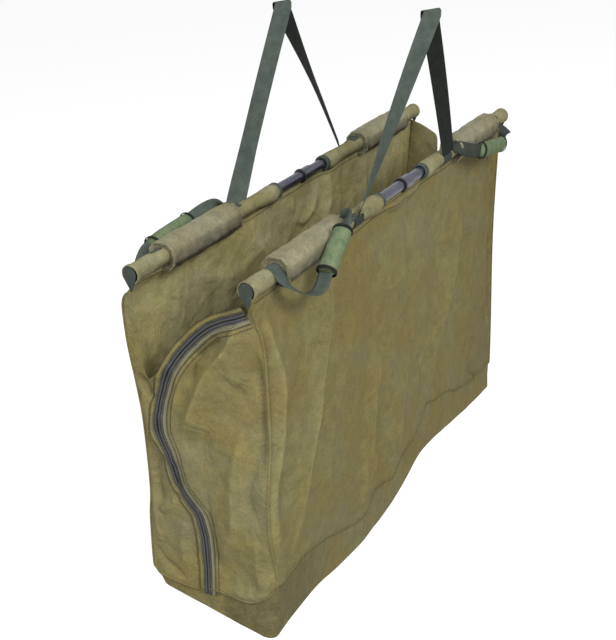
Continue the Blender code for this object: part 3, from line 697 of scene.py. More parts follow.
# %% Place the far wall
far_folds = [
    ([(-0.54, 0.66), (-0.53, 0.52), (-0.55, 0.36)], (0.020, 0.020), 0.006, 0.0),
    ([(-0.46, 0.66), (-0.44, 0.50), (-0.47, 0.34)], (0.030, 0.030), -0.006, 0.0),
    ([(-0.30, 0.66), (-0.34, 0.50), (-0.40, 0.34)], (0.022, 0.035), 0.008, 0.0),
    ([(-0.20, 0.68), (-0.19, 0.62), (-0.14, 0.56), (-0.10, 0.48)], (0.018, 0.026), -0.010,
     0.05),
    ([(-0.10, 0.68), (-0.09, 0.62), (-0.05, 0.56)], (0.018, 0.018), 0.007, -0.05),
    ([(-0.035, 0.680), (-0.030, 0.625), (0.000, 0.590), (0.045, 0.592), (0.070, 0.630),
      (0.075, 0.670)], (0.012, 0.020), -0.008, 0.08),
    ([(-0.020, 0.600), (0.020, 0.572), (0.070, 0.585)], (0.010, 0.014), 0.006, -0.12),
    ([(0.12, 0.68), (0.13, 0.60), (0.10, 0.50)], (0.020, 0.020), -0.008, 0.05),
    ([(0.20, 0.68), (0.22, 0.56), (0.20, 0.42)], (0.022, 0.022), 0.007, -0.05),
    ([(0.30, 0.68), (0.31, 0.56), (0.29, 0.42)], (0.022, 0.022), -0.007, 0.06),
    ([(0.44, 0.67), (0.40, 0.55), (0.42, 0.42)], (0.030, 0.030), 0.007, 0.0),
    ([(0.52, 0.67), (0.53, 0.50), (0.50, 0.36)], (0.020, 0.020), -0.006, 0.04),
    ([(-0.40, 0.60), (-0.25, 0.57), (-0.12, 0.60)], (0.020, 0.030), -0.005, 0.0),
]


far_foot_across = 0.150  # where the far wall meets the base's band
corner_reach = 0.30  # share of the wall's length that a corner pulls out of line


def far_wall_place(along, up):
    """Points of the far wall, by shares along and up."""
    flat_x = -bag_long / 2 + along * bag_long
    low = far_seam_up(flat_x)
    top = wall_top + 0.006 * np.exp(-(flat_x / 0.115) ** 6)
    z = low + (top - low) * up
    left_x, right_x = left_far_corner_x(z), right_corner_x(z)
    x = left_x + (right_x - left_x) * along
    straight = far_foot_across + (far_rail - far_foot_across) * up
    left_y = left_far_corner_across(z)
    right_y = right_far_corner_across(z)
    y = straight + (left_y - straight) * ease(1 - along / corner_reach)
    y = y + (right_y - straight) * ease((along - 1 + corner_reach) / corner_reach)
    body = np.sin(np.pi * along) * np.sin(np.pi * np.clip(up, 0, 1))
    lift, tone = fold_lift(np.column_stack([x, z]), far_folds)
    edge = ease(along / 0.02) * ease((1 - along) / 0.02) * ease((1 - up) / 0.03)
    swell = ripple(np.column_stack([x, y * 0, z * 0.5]), 0.12, 11.0) * 0.007
    swell += ripple(np.column_stack([x, y * 0, z]), 0.045, 13.0) * 0.002
    y = y + body * 0.010 + (lift + swell) * edge
    return np.column_stack([x, y, z, tone])


far_wall_mesh = cloth_grid(240, 130, far_wall_place, bag_long, wall_high)
face_towards(far_wall_mesh, (0, 1, 0))
far_wall = finish_piece(far_wall_mesh, "far_wall", inner_cloth,
                        replaced=("far_side_panel",), thick=cloth_thick)

# %% [markdown]
# ## The end panels
#
# Each end closes with a zip that leaves the near pole's end in an arc and comes back to the
# middle of the base. It cuts the panel in two. The near half is pulled up into a peak at
# the pole's end; the far half hangs slack, so its free top edge sags beside the zip.

# %% Place the end panels
end_tops = {
    "left": reader([(-0.05, 0.532), (0.0, 0.526), (0.15, 0.512), (0.30, 0.502),
                    (0.45, 0.492), (0.55, 0.488), (0.66, 0.505), (0.76, 0.545),
                    (0.86, 0.600), (0.93, 0.642), (1.0, 0.662), (1.05, 0.668)]),
    "right": reader([(-0.05, 0.540), (0.0, 0.545), (0.25, 0.570), (0.35, 0.586),
                     (0.63, 0.632), (0.85, 0.660), (1.0, 0.672), (1.05, 0.674)]),
}
near_half_folds = [
    ([(-0.095, 0.650), (-0.075, 0.612), (-0.052, 0.572), (-0.018, 0.532), (0.002, 0.505),
      (0.028, 0.450), (0.050, 0.405), (0.066, 0.360)], (0.012, 0.045), 0.017, 0.17),
    ([(-0.113, 0.560), (-0.082, 0.516), (-0.033, 0.460), (0.009, 0.400), (0.043, 0.330)],
     (0.030, 0.024), -0.010, -0.05),
    ([(-0.050, 0.590), (-0.020, 0.568), (0.006, 0.548), (0.022, 0.520), (0.030, 0.480)],
     (0.012, 0.010), -0.012, -0.16),
    ([(-0.056, 0.572), (-0.026, 0.544), (0.010, 0.534), (0.028, 0.522)], (0.005, 0.007),
     0.007, 0.12),
    ([(0.030, 0.545), (0.048, 0.515), (0.062, 0.470), (0.075, 0.425)], (0.007, 0.007),
     0.005, 0.06),
    ([(-0.100, 0.600), (-0.104, 0.500), (-0.096, 0.384), (-0.078, 0.320), (-0.070, 0.280),
      (-0.086, 0.231), (-0.100, 0.180)], (0.012, 0.016), -0.009, -0.10),
    ([(-0.060, 0.420), (-0.040, 0.300), (-0.036, 0.220), (-0.014, 0.165), (0.006, 0.100)],
     (0.018, 0.028), 0.010, 0.07),
    ([(-0.085, 0.200), (-0.075, 0.140), (-0.078, 0.080)], (0.018, 0.022), 0.009, 0.04),
    ([(0.020, 0.300), (0.012, 0.200), (0.008, 0.100)], (0.012, 0.012), -0.006, -0.08),
    ([(-0.110, 0.130), (-0.080, 0.078), (-0.045, 0.066), (-0.010, 0.074)], (0.012, 0.010),
     0.008, 0.06),
]
far_half_folds = [
    ([(0.062, 0.530), (0.080, 0.512), (0.100, 0.500), (0.122, 0.490)], (0.008, 0.012), 0.008,
     0.14),
    ([(0.130, 0.495), (0.120, 0.468), (0.110, 0.440)], (0.010, 0.008), -0.010, -0.18),
    ([(0.132, 0.470), (0.142, 0.420), (0.136, 0.370)], (0.008, 0.008), 0.006, 0.08),
    ([(0.098, 0.430), (0.118, 0.390), (0.128, 0.350)], (0.012, 0.012), 0.006, 0.05),
    ([(0.100, 0.340), (0.125, 0.300), (0.122, 0.220)], (0.014, 0.014), -0.009, -0.16),
    ([(0.084, 0.330), (0.078, 0.280), (0.084, 0.240)], (0.008, 0.010), -0.006, -0.16),
    ([(0.086, 0.250), (0.104, 0.226), (0.130, 0.214)], (0.007, 0.007), 0.006, 0.10),
    ([(0.140, 0.340), (0.142, 0.230), (0.132, 0.130)], (0.012, 0.012), 0.006, 0.05),
    ([(0.070, 0.210), (0.085, 0.150), (0.082, 0.090)], (0.014, 0.014), 0.005, 0.06),
    ([(0.150, 0.135), (0.130, 0.106), (0.106, 0.088), (0.084, 0.066)], (0.007, 0.010),
     -0.006, -0.22),
]


def corner_across(end, which, z):
    """How far across an end's near or far corner seam stands at a height."""
    if which == "near":
        return near_corner_across(z) if end == "left" else right_near_corner_across(z)
    return left_far_corner_across(z) if end == "left" else right_far_corner_across(z)


def end_x(end, y, z):
    """How far out an end panel stands at a place on it, and its painted highlight and shade
    there.
    """
    near_y, far_y = corner_across(end, "near", z), corner_across(end, "far", z)
    share = np.clip((y - near_y) / (far_y - near_y), 0, 1)
    if end == "left":
        near_x, far_x = -left_near_corner_x(z), -left_far_corner_x(z)
    else:
        near_x = far_x = right_corner_x(z)
    belly = np.sin(np.pi * share) * np.sin(np.pi * np.clip((z - 0.03) / 0.70, 0, 1))
    places = np.column_stack([y, z])
    lift, tone = fold_lift(places, near_half_folds + far_half_folds)
    swell = ripple(np.column_stack([y * 0, y, z]), 0.09, 7.0 if end == "left" else 19.0)
    swell = swell + 0.4 * ripple(np.column_stack([y * 0, y, z]), 0.035, 23.0)
    calm = ease(share / 0.05) * ease((1 - share) / 0.05)
    out = near_x + (far_x - near_x) * share + belly * 0.006 + (lift + swell * 0.003) * calm
    return out * ends[end], tone


peak_up, peak_drop = 0.668, 0.032  # the near half's top edge, and its fall to the zip
settle_turns = 4  # a height and its place on the slanting seams are found in turns


def end_half_place(end, half):
    """A function that places one half of an end panel."""
    def place(along, up):
        top = peak_up - peak_drop * along if half == "near" else end_tops[end](along)
        z = np.full(len(along), 0.05)
        for turn in range(settle_turns):
            if half == "near":
                first, last = corner_across(end, "near", z), zip_across(z)
            else:
                first, last = zip_across(z), corner_across(end, "far", z)
            y = first + (last - first) * along
            low = end_seams_up[end](y)
            if turn < settle_turns - 1:
                z = low + (top - low) * up
        x, tone = end_x(end, y, z)
        return np.column_stack([x, y, z, tone])
    return place


half_cuts = {"near": (92, 0.20, (0.225, 0.62), 0.098), "far": (50, 0.115, (0.13, 0.62), 0.040)}
end_pieces = {}
for end, way in ends.items():
    for half, (columns, width, flat, area) in half_cuts.items():
        half_mesh = cloth_grid(columns, 200, end_half_place(end, half), width, 0.60)
        face_towards(half_mesh, (way, 0, 0))
        piece = finish_piece(half_mesh, end + "_end_" + half, end_cloth,
                             replaced=(end + "_gusset_" + half,), thick=cloth_thick)
        end_pieces[end, half] = piece

# %% [markdown]
# ## The base
#
# The base is a boxed floor with a low band turned up all round and sewn to the walls. It
# starts as a grid with its corners rounded, and its rim is extruded upwards in steps. Each
# step goes a little further towards the seam, which the panels' own feet give.

# %% Make the base with its band
base_low_x, base_high_x = -0.598, 0.578
half_long, half_wide = (base_high_x - base_low_x) / 2, 0.125
middle_x, middle_y = (base_low_x + base_high_x) / 2, 0.024
corner_round, band_steps = 0.022, 7
near_drift, floor_sag, band_crumple = 0.010, 0.004, 0.0012
base_tone_all, base_tone_left = -0.08, -0.24


def rounded(x, y):
    """Move a place of the base's rectangle into one with round corners."""
    over_x = abs(x) - (half_long - corner_round)
    over_y = abs(y) - (half_wide - corner_round)
    if over_x <= 0 or over_y <= 0:
        return x, y
    a, b = over_x / corner_round, over_y / corner_round
    a, b = a * math.sqrt(1 - b * b / 2), b * math.sqrt(1 - a * a / 2)
    return (math.copysign(half_long - corner_round + a * corner_round, x),
            math.copysign(half_wide - corner_round + b * corner_round, y))


def along_foot(place, count):
    """A panel's foot line."""
    return place(np.linspace(0, 1, count), np.zeros(count))[:, :3]


seam_points = 400
seams = {"near": along_foot(near_wall_place, seam_points),
         "far": along_foot(far_wall_place, seam_points)}
for end in ends:
    seams[end] = np.vstack([along_foot(end_half_place(end, half), seam_points)
                            for half in ("near", "far")])


def seam_over(along, across, inset=0.0014, whole=0.999):
    """The seam's place over a place of the rim, whose shares run from -1 to 1."""
    if abs(across) > whole:
        line = seams["near" if across < 0 else "far"]
        ruler, where = line[:, 0], line[0, 0] + (along + 1) / 2 * (line[-1, 0] - line[0, 0])
    else:
        line = seams["left" if along < 0 else "right"]
        ruler = line[:, 1]
        where = ruler[0] + (across + 1) / 2 * (ruler[-1] - ruler[0])
    spot = Vector([np.interp(where, ruler, line[:, k]) for k in range(3)])
    return spot - Vector((along ** 9 * inset, across ** 9 * inset, -0.004))


def edge_height(x, y):
    """The height of the base's lower edge, or of its floor, at a place."""
    across = np.clip((y + 0.10) / 0.25, 0, 1)
    return float(near_edge_up(x) + (far_edge_up(x) - near_edge_up(x)) * across)


base_mesh = bmesh.new()
bmesh.ops.create_grid(base_mesh, x_segments=190, y_segments=42, size=1.0)
base_uv = base_mesh.loops.layers.uv.new("UVMap")
base_tone = base_mesh.verts.layers.float.new("fold")
rim = [edge for edge in base_mesh.edges if edge.is_boundary]
tops = {vert: seam_over(vert.co.x, vert.co.y) for edge in rim for vert in edge.verts}
for vert in base_mesh.verts:
    x, y = rounded(vert.co.x * half_long, vert.co.y * half_wide)
    inside = max(0.0, 1 - max(abs(vert.co.x), abs(vert.co.y)) ** 6)
    x, y = x + middle_x, y + middle_y
    y += near_drift * (x - base_low_x) / (2 * half_long) * max(0.0, -vert.co.y)
    sag = floor_sag * inside * (1 + noise.noise(Vector((x * 9, y * 12, 4.0))))
    vert.co = Vector((x, y, edge_height(x, y) - sag))
runs = {vert: (vert.co.copy(), top) for vert, top in tops.items()}
for level in range(1, band_steps + 1):
    grown = bmesh.ops.extrude_edge_only(base_mesh, edges=rim)["geom"]
    ring = {item for item in grown if isinstance(item, bmesh.types.BMVert)}
    rim = [item for item in grown if isinstance(item, bmesh.types.BMEdge)
           and item.verts[0] in ring and item.verts[1] in ring]
    lifted = {}
    for vert in ring:
        foot = next(edge.other_vert(vert) for edge in vert.link_edges
                    if edge.other_vert(vert) in runs)
        lifted[vert] = runs[foot]
        vert.co = runs[foot][0].lerp(runs[foot][1], level / band_steps)
    runs = lifted
for vert in base_mesh.verts:
    x, y = vert.co.x, vert.co.y
    vert.co.z += noise.noise(Vector((x * 22, y * 22, vert.co.z * 30))) * band_crumple
    # The base is painted a little darker all over, and darker still towards the left of its
    # near side.
    darker = float(ease((-0.32 - x) / 0.2)) * (y < 0.0)
    vert[base_tone] = base_tone_all + base_tone_left * darker
for face in base_mesh.faces:
    for corner in face.loops:
        corner[base_uv].uv = (corner.vert.co.x, corner.vert.co.y + corner.vert.co.z)
for vert in base_mesh.verts:
    vert.co = at(*vert.co)
face_towards(base_mesh, (0, 0, -1))
base_cloth = finish_piece(base_mesh, "base_cloth", olive_cloth, "bag",
                          ("base_tray",), thick=cloth_thick)


# %% [markdown]
# ## Sewn lines
#
# A seam reads as a narrow raised cord of cloth with a row of stitches on it. One helper
# sweeps a small rounded strip along a line; another sets short stitches, each a small
# bar, at an even pitch.

# %% Sweep a strip and set stitches
def swept(points, sides, faces, width, height, around=8):
    """A flattened round strip along points, with its width along sides."""
    def place(along, about):
        index = at_share(along, len(points))
        angle = math.tau * about
        return (points[index] + sides[index] * (np.cos(angle) * width / 2)[:, None]
                + faces[index] * (np.sin(angle) * height / 2)[:, None])

    strip = cloth_grid(len(points) - 1, around, place, line_length(points), width * 2)
    close_round(strip, capped=True)
    return strip


def stitch_row(mesh, points, faces, pitch, length, width, lift=0.0004, turn=0.0):
    """Set bars of thread along a row of points, in the frame's places."""
    steps = np.linalg.norm(np.diff(points, axis=0), axis=1)
    reached = np.concatenate([[0], np.cumsum(steps)])
    count = int(reached[-1] / pitch)
    for i in range(count):
        where = (i + 0.5) * pitch
        spot, ahead, face = (
            Vector([np.interp(there, reached, row[:, k]) for k in range(3)])
            for there, row in ((where, points), (where + pitch / 3, points), (where, faces)))
        face.normalize()
        along = (ahead - spot).normalized()
        side = face.cross(along).normalized()
        along, side = (along * math.cos(turn) + side * math.sin(turn),
                       side * math.cos(turn) - along * math.sin(turn))
        axes = Matrix((along * length, side * width, face * width)).transposed().to_4x4()
        bar = bmesh.ops.create_cube(mesh, size=1.0)
        spot = spot + face * lift + Vector(world_offset)
        bmesh.ops.transform(mesh, matrix=Matrix.Translation(spot) @ axes, verts=bar["verts"])
    return count


# %% Sew the band's seam all round
band_pitch = 0.0060


def sew_line(name, line, out, body, width=0.005, height=0.0026, lift=0.0012, thread=True):
    """A raised seam along a line of a panel, with a stitch row on it."""
    faces = np.tile(np.array(out, float), (len(line), 1))
    sides = np.cross(directions(line), faces)
    strip = swept(line + faces * lift, sides, faces, width, height)
    seam = finish_piece(strip, name, olive_cloth, body)
    if thread:
        rows = bmesh.new()
        stitch_row(rows, line + faces * (lift + height / 2), faces, band_pitch, stitch_long,
                   thread_thick)
        finish_piece(rows, name + "_stitches", dark_thread, body)
    return seam


sew_line("near_band_seam", along_foot(near_wall_place, 260), (0, -1, 0), "bag")
sew_line("far_band_seam", along_foot(far_wall_place, 160), (0, 1, 0), "bag")
for end, way in ends.items():
    near_foot = along_foot(end_half_place(end, "near"), 60)
    far_foot = along_foot(end_half_place(end, "far"), 40)
    sew_line(end + "_band_seam", np.vstack([near_foot, far_foot[1:]]), (way, 0, 0), "bag")

# %% [markdown]
# ## Baking the cloth's places
#
# The sides swing about the band's seam. Here the walls, end panels, corner seams and zip
# parts only have their transforms baked into their meshes; they are not bent with the sides.


def bend_side(piece):
    """Bake a long wall's transform into its mesh, without bending it."""
    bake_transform(piece)


def bend_near(piece):
    """Bake the transform of an end panel's piece into its mesh, without bending it."""
    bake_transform(piece)


def bend_far(piece):
    """Bake the transform of an end panel's piece into its mesh, without bending it."""
    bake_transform(piece)


bend_side(near_wall)
bend_side(far_wall)
for (end, half), piece in end_pieces.items():
    if half == "near":
        bend_near(piece)
    else:
        bend_far(piece)

# %% [markdown]
# ## Corner seams
#
# The walls are sewn to the end panels edge to edge. The turned seam stands out a little and
# pulls the cloth beside it into fine tucks.

# %% Sew the corners
def corner_line(end, which, count=150):
    """Points down a corner seam."""
    foot = seams[which][0 if end == "left" else -1, 2]
    z = np.linspace(0.652, foot + 0.003, count)
    y = corner_across(end, which, z)
    x, _ = end_x(end, y, z)
    return np.column_stack([x, y, z])


for end, way in ends.items():
    for which in ("near", "far"):
        out = np.array((way * 0.75, outwards[which] * 0.66, 0.0))
        seam = sew_line(end + "_" + which + "_corner_seam", corner_line(end, which), out,
                        None, 0.0045, 0.0030, 0.0008, thread=False)
        if which == "near":
            bend_near(seam)
        else:
            bend_far(seam)

# %% [markdown]
# ## The zips
#
# The zip is a coil zip: two woven tapes, each with half of a moulded coil along its edge.
# Closed, the two coils lie side by side with a groove between them, painted dark as shade. A
# stitched binding covers the tape's edges, and all of it follows the cloth's own surface. The
# tape's and the bindings' edges are painted dark as thin shadows. The binding on the near side
# is pale and sewn with a hatching of crossed threads.

# %% Make the tapes, the coils and the zips' stitching
def zip_path(end, count, aside=0.0, lift=0.0):
    """Points down the zip's line on an end panel, moved aside in the panel and lifted."""
    line = smooth_curve(zip_places[::-1], count)
    flat = np.column_stack([line[:, 1], line[:, 0]])
    along = directions(flat)
    flat = flat + np.column_stack([along[:, 1], -along[:, 0]]) * aside
    x, _ = end_x(end, flat[:, 0], flat[:, 1])
    return np.column_stack([x + ends[end] * lift, flat[:, 0], flat[:, 1]])


def strip_mesh(end, offsets, heights, tones, count=210):
    """A strip beside the zip's line, with a height and a painted tone for each of its offsets.
    """
    columns = [zip_path(end, count, a, h) for a, h in zip(offsets, heights)]
    last = len(offsets) - 1

    def place(along, across):
        index, column = at_share(along, count), at_share(across, last + 1)
        spots = np.array([columns[c][i] for c, i in zip(column, index)])
        return np.column_stack([spots, np.array(tones)[column]])

    return cloth_grid(count - 1, last, place, 0.78, abs(offsets[-1] - offsets[0]))


tape_offsets = (-0.0084, -0.0080, -0.0072, -0.0058, -0.0050, -0.0030, -0.0012, 0.0,
                0.0012, 0.0030, 0.0050, 0.0058, 0.0072, 0.0080, 0.0084)
tape_heights = (0.0008, 0.0014, 0.0015, 0.0012, 0.0022, 0.0026, 0.0022, 0.0008,
                0.0022, 0.0026, 0.0022, 0.0012, 0.0015, 0.0014, 0.0008)
# Painted shade: dark at the tape's edges and in the groove between the coils, with two paler
# lines inside the edges.
tape_shade_tones = (-0.7, 0.1, 0.7, -0.3, -0.2, 0.1, -0.4, -0.85,
              -0.4, 0.1, -0.2, -0.3, 0.9, 0.4, -0.7)
edge_offsets = (0.0086, 0.0092, 0.0110, 0.0134, 0.0156, 0.0168, 0.0176)
edge_heights = (0.0004, 0.0014, 0.0018, 0.0018, 0.0016, 0.0008, 0.0004)
# Painted shadow: the binding's folded edges are dark.
binding_shadow_tones = (-0.7, 0.0, 0.15, 0.05, -0.1, -0.5, -0.6)
coil_aside, coil_up, tooth_pitch, tooth_turn = 0.0031, 0.0026, 0.0026, 0.35
sewn_offsets = (-0.0102, -0.0190, 0.0102, 0.0164, 0.0240)
hatch_aside, hatch_turn = 0.0133, 0.6
sewn_points = 400
for end, way in ends.items():
    tape_mesh = strip_mesh(end, tape_offsets, tape_heights, tape_shade_tones)
    face_towards(tape_mesh, (way, 0, 0))
    tape = finish_piece(tape_mesh, end + "_zip_tape", zip_tape,
                        replaced=(end + "_zip",), thick=0.001)
    bend_near(tape)
    for aside, sign in (("near", 1), ("far", -1)):
        edge_mesh = strip_mesh(end, [sign * o for o in edge_offsets], edge_heights,
                               binding_shadow_tones)
        face_towards(edge_mesh, (way, 0, 0))
        edge = finish_piece(edge_mesh, end + "_zip_binding_" + aside,
                            zip_edge if aside == "near" else end_cloth,
                            thick=binding_thick)
        bend_near(edge)
    out_end = np.tile((float(way), 0.0, 0.0), (sewn_points, 1))
    coil_mesh = bmesh.new()
    teeth = 0
    for sign in (-1, 1):
        row = zip_path(end, sewn_points, sign * coil_aside, coil_up)
        teeth += stitch_row(coil_mesh, row, out_end, tooth_pitch, 0.0015, 0.0034,
                            lift=-0.0011, turn=sign * tooth_turn)
    bend_near(finish_piece(coil_mesh, end + "_zip_coil", zip_coil))
    sewing_mesh = bmesh.new()
    for aside in sewn_offsets:
        stitch_row(sewing_mesh, zip_path(end, sewn_points, aside, 0.0016), out_end, 0.0050,
                   0.0032, 0.0010)
    bend_near(finish_piece(sewing_mesh, end + "_zip_stitches", dark_thread))
    hatch_mesh = bmesh.new()
    for turn in (hatch_turn, -hatch_turn):
        stitch_row(hatch_mesh, zip_path(end, sewn_points, hatch_aside, 0.0020), out_end,
                   0.0048, 0.0052, 0.0006, lift=0.0001, turn=turn)
    bend_near(finish_piece(hatch_mesh, end + "_zip_hatching", khaki_thread))
    print(end, "zip has", teeth, "teeth")

# %% [markdown]
# ## Sleeves, hems and end tabs
#
# Each pole lies in two cloth sleeves sewn along the wall's top. A sleeve is a tube that is
# gathered a little at its inner hem, so it puffs up there. Webbing binds the hem, and a
# folded tab of webbing closes the outer end and comes to a point below it.

# %% Make the sleeves
hem_reach, stop_gap = 0.0115, 0.0005  # from the CAD's hem to the cloth, and from its end
puff_from, puff_long = 0.125, 0.065  # where the cloth beside the hem is full, and how far
outer_from, outer_long = 0.515, 0.03
puff_high, rib_high, puff_lump = 0.0032, 0.0005, 0.0015
outer_high, outer_lump, small_lump = 0.0012, 0.0008, 0.0003
neck_depth, neck_long, sag_depth = 0.0022, 0.012, 0.0015
rib_waves, rib_sway, sway_waves = 900, 2.5, 40
noise_round = 0.02


def sleeve_mesh(side, way):
    """One sleeve: a tube with lumps, and fine gathers beside its hem."""
    start = bare_half + hem_reach
    stop = half_sling - stop_gap

    def place(along, about):
        x = start + (stop - start) * along
        angle = math.tau * about
        inner = 1 - ease((x - puff_from) / puff_long)
        outer = ease((x - outer_from) / outer_long)
        spots = np.column_stack([x * way, np.cos(angle) * noise_round,
                                 np.sin(angle) * noise_round])
        lump = ripple(spots, 0.035, 31.0 if side == "near" else 47.0)
        small = ripple(spots, 0.012, 41.0)
        sway = rib_sway * np.sin(angle + x * sway_waves)
        ribs = np.sin(x * rib_waves + sway) * (0.5 + 0.5 * lump)
        radius = (sleeve_radius + small_lump
                  + inner * (puff_high + rib_high * ribs + puff_lump * lump)
                  + outer * (outer_high + outer_lump * lump) + small_lump * small)
        radius = radius - neck_depth * ease((puff_from - x) / neck_long)
        drop = sag_depth * inner
        # Painted shade darkens the tube's lower side, and painted highlight pales the crests of
        # the gathered ribs.
        tone = -0.20 * ease((0.1 - np.sin(angle)) / 0.8) + 0.10 * inner * ribs
        return np.column_stack([way * x, rails[side] + radius * np.cos(angle),
                                rail_up - drop + radius * np.sin(angle), tone])

    tube = cloth_grid(260, 40, place, 0.48, math.tau * sleeve_radius)
    close_round(tube)
    return tube


# %% Make the hems and the end tabs
hem_off, hem_wall, roll_high = 0.0007, 0.0043, 0.0014
ring_off, ring_high = 0.0012, 0.0034
tab_half_wide, tab_half_high, tab_point = 0.0128, 0.0150, 0.0165
tab_thin, tab_thick, tab_edge, tab_crease = 0.0004, 0.0022, 0.0012, 0.0014


def tube_mesh(side, centre, length, radius_at, steps=20, tone_at=None):
    """A short tube round a pole's axis, with a radius for each share of its length."""
    def place(along, about):
        angle = math.tau * about
        radius = radius_at(along)
        tone = tone_at(along) if tone_at else along * 0
        return np.column_stack([centre + (along - 0.5) * length,
                                rails[side] + radius * np.cos(angle),
                                rail_up + radius * np.sin(angle), tone])

    tube = cloth_grid(steps, 36, place, length, math.tau * 0.017)
    close_round(tube)
    return tube


def hem_radius(along):
    """A hem's profile: two rolled ridges, turned down to the pole at both ends."""
    roll = roll_high * np.abs(np.sin(math.tau * along)) ** 0.6
    shoulder = np.clip(np.sin(np.pi * along) * 6, 0.10, 1)
    return pole_radius + hem_off + (hem_wall + roll) * shoulder


def hem_groove_shade(along):
    """Painted shade in the groove in the hem's middle."""
    return -0.6 * np.exp(-((along - 0.5) / 0.08) ** 2)


def tab_band_radius(along):
    """The band behind the tab, turned down at its inner edge."""
    return sleeve_radius + 0.0012 + 0.0016 * np.clip(np.sin(np.pi * along) * 5, 0.2, 1)


def ring_radius(along):
    """A round ring's profile outside the pole's collar."""
    return pole_radius + ring_off + ring_high * np.clip(np.sin(np.pi * along) * 1.6, 0, 1)


def tab_mesh(side, way):
    """The folded webbing over a sleeve's outer end, pointed below."""
    tab = bmesh.new()
    bmesh.ops.create_circle(tab, cap_ends=True, radius=1.0, segments=36)
    bmesh.ops.inset_region(tab, faces=list(tab.faces), thickness=0.20, depth=0.0)
    for step in range(3):
        middle = [f for f in tab.faces if len(f.verts) > 4]
        bmesh.ops.inset_region(tab, faces=middle, thickness=0.22, depth=0.0)
    grown = bmesh.ops.extrude_face_region(tab, geom=list(tab.faces))
    top = [item for item in grown["geom"] if isinstance(item, bmesh.types.BMVert)]
    bmesh.ops.translate(tab, verts=top, vec=(0, 0, 1))
    tone = tab.verts.layers.float.new("fold")
    for vert in tab.verts:
        across, up, depth = vert.co
        edge = math.hypot(across, up) > 0.78
        point = max(0.0, -up - 0.25) / 0.75
        crease = math.exp(-(across / 0.22) ** 2)
        across *= 1 - 0.80 * point ** 1.6
        full = tab_thick + tab_edge * edge - tab_crease * crease
        thick = tab_thin if depth < 0.5 else full
        # Painted light: the raised rim is painted paler as highlight, the middle crease darker
        # as shade.
        vert[tone] = 0.9 * edge - 0.55 * crease
        vert.co = at(way * (half_sling - 0.001 + thick), rails[side] + across * tab_half_wide,
                     rail_up + up * tab_half_high - tab_point * point ** 1.3)
    bmesh.ops.recalc_face_normals(tab, faces=tab.faces)
    return tab


for side in rails:
    for end, way in ends.items():
        body = side + "_side"
        sleeve = finish_piece(sleeve_mesh(side, way), side + "_sleeve_cloth_" + end,
                              sleeve_cloth, body,
                              (side + "_sleeve_" + end,), thick=0.0009, offset=-1.0)
        hem = tube_mesh(side, way * (bare_half + 0.0062), 0.0125, hem_radius,
                        tone_at=hem_groove_shade)
        finish_piece(hem, side + "_hem_binding_" + end, webbing, body,
                     (side + "_hem_" + end,), thick=0.0008, offset=-1.0)
        # The tab takes the darker webbing as painted shade.
        finish_piece(tab_mesh(side, way), side + "_tab_" + end, shadow_webbing,
                     body, (side + "_end_tab_" + end,))
        band = tube_mesh(side, way * (half_sling - 0.0045), 0.008, tab_band_radius, steps=8)
        finish_piece(band, side + "_tab_band_" + end, sleeve_cloth, body,
                     thick=0.0010, offset=-1.0)

# %% [markdown]
# ## The walls' top stitching and the poles' rings
#
# Two rows of stitches close the sleeve along the wall's top. On the pole, a black ring
# marks where the two tubes meet.

# %% Stitch the walls' tops and set the rings
top_pitch, top_points = 0.0058, 300
row_depths, hung_depth = (0.006, 0.016), 0.62
for side, place in (("near", near_wall_place), ("far", far_wall_place)):
    rows = bmesh.new()
    for down in row_depths:
        share = np.full(top_points, 1 - down / hung_depth)
        line = place(np.linspace(0.004, 0.996, top_points), share)[:, :3]
        for sign in (-1, 1):
            faces = np.tile((0.0, float(sign), 0.0), (top_points, 1))
            stitch_row(rows, line + faces * 0.0008, faces, top_pitch, stitch_long,
                       thread_thick)
    finish_piece(rows, side + "_top_stitches", dark_thread, side + "_side")
    collar_low, collar_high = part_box(side + "_pole_collar")
    print(side, "collar from", round(collar_low.x, 4), "to", round(collar_high.x, 4))
    ring = tube_mesh(side, collar_low.x, 0.0052, ring_radius, steps=8)
    finish_piece(ring, side + "_joint_ring", black_plastic,
                 side + "_side", thick=0.0008, offset=-1.0)


# %% [markdown]
# ## Floats
#
# A float is a block of closed-cell foam with cut corners, sewn into a cover and bored
# for the sleeve. The block is a bevelled box that is divided finely, so the cover can
# swell a little between its seams and pucker at its ends. Its lower sides are painted dark
# as shade, and its wrinkles paler on their crests and darker in their hollows.

# %% Make the floats
cut_corner, cap_margin, cap_step, cap_depth, crisp_round = 0.015, 0.006, 0.005, 0.004, 0.0034
long_cuts, cross_cuts, cross_pitch = 40, 3, 0.0075
belly_high, wrinkle_high, pucker_high, cover_sink = 0.0010, 0.0018, 0.0009, 0.0012


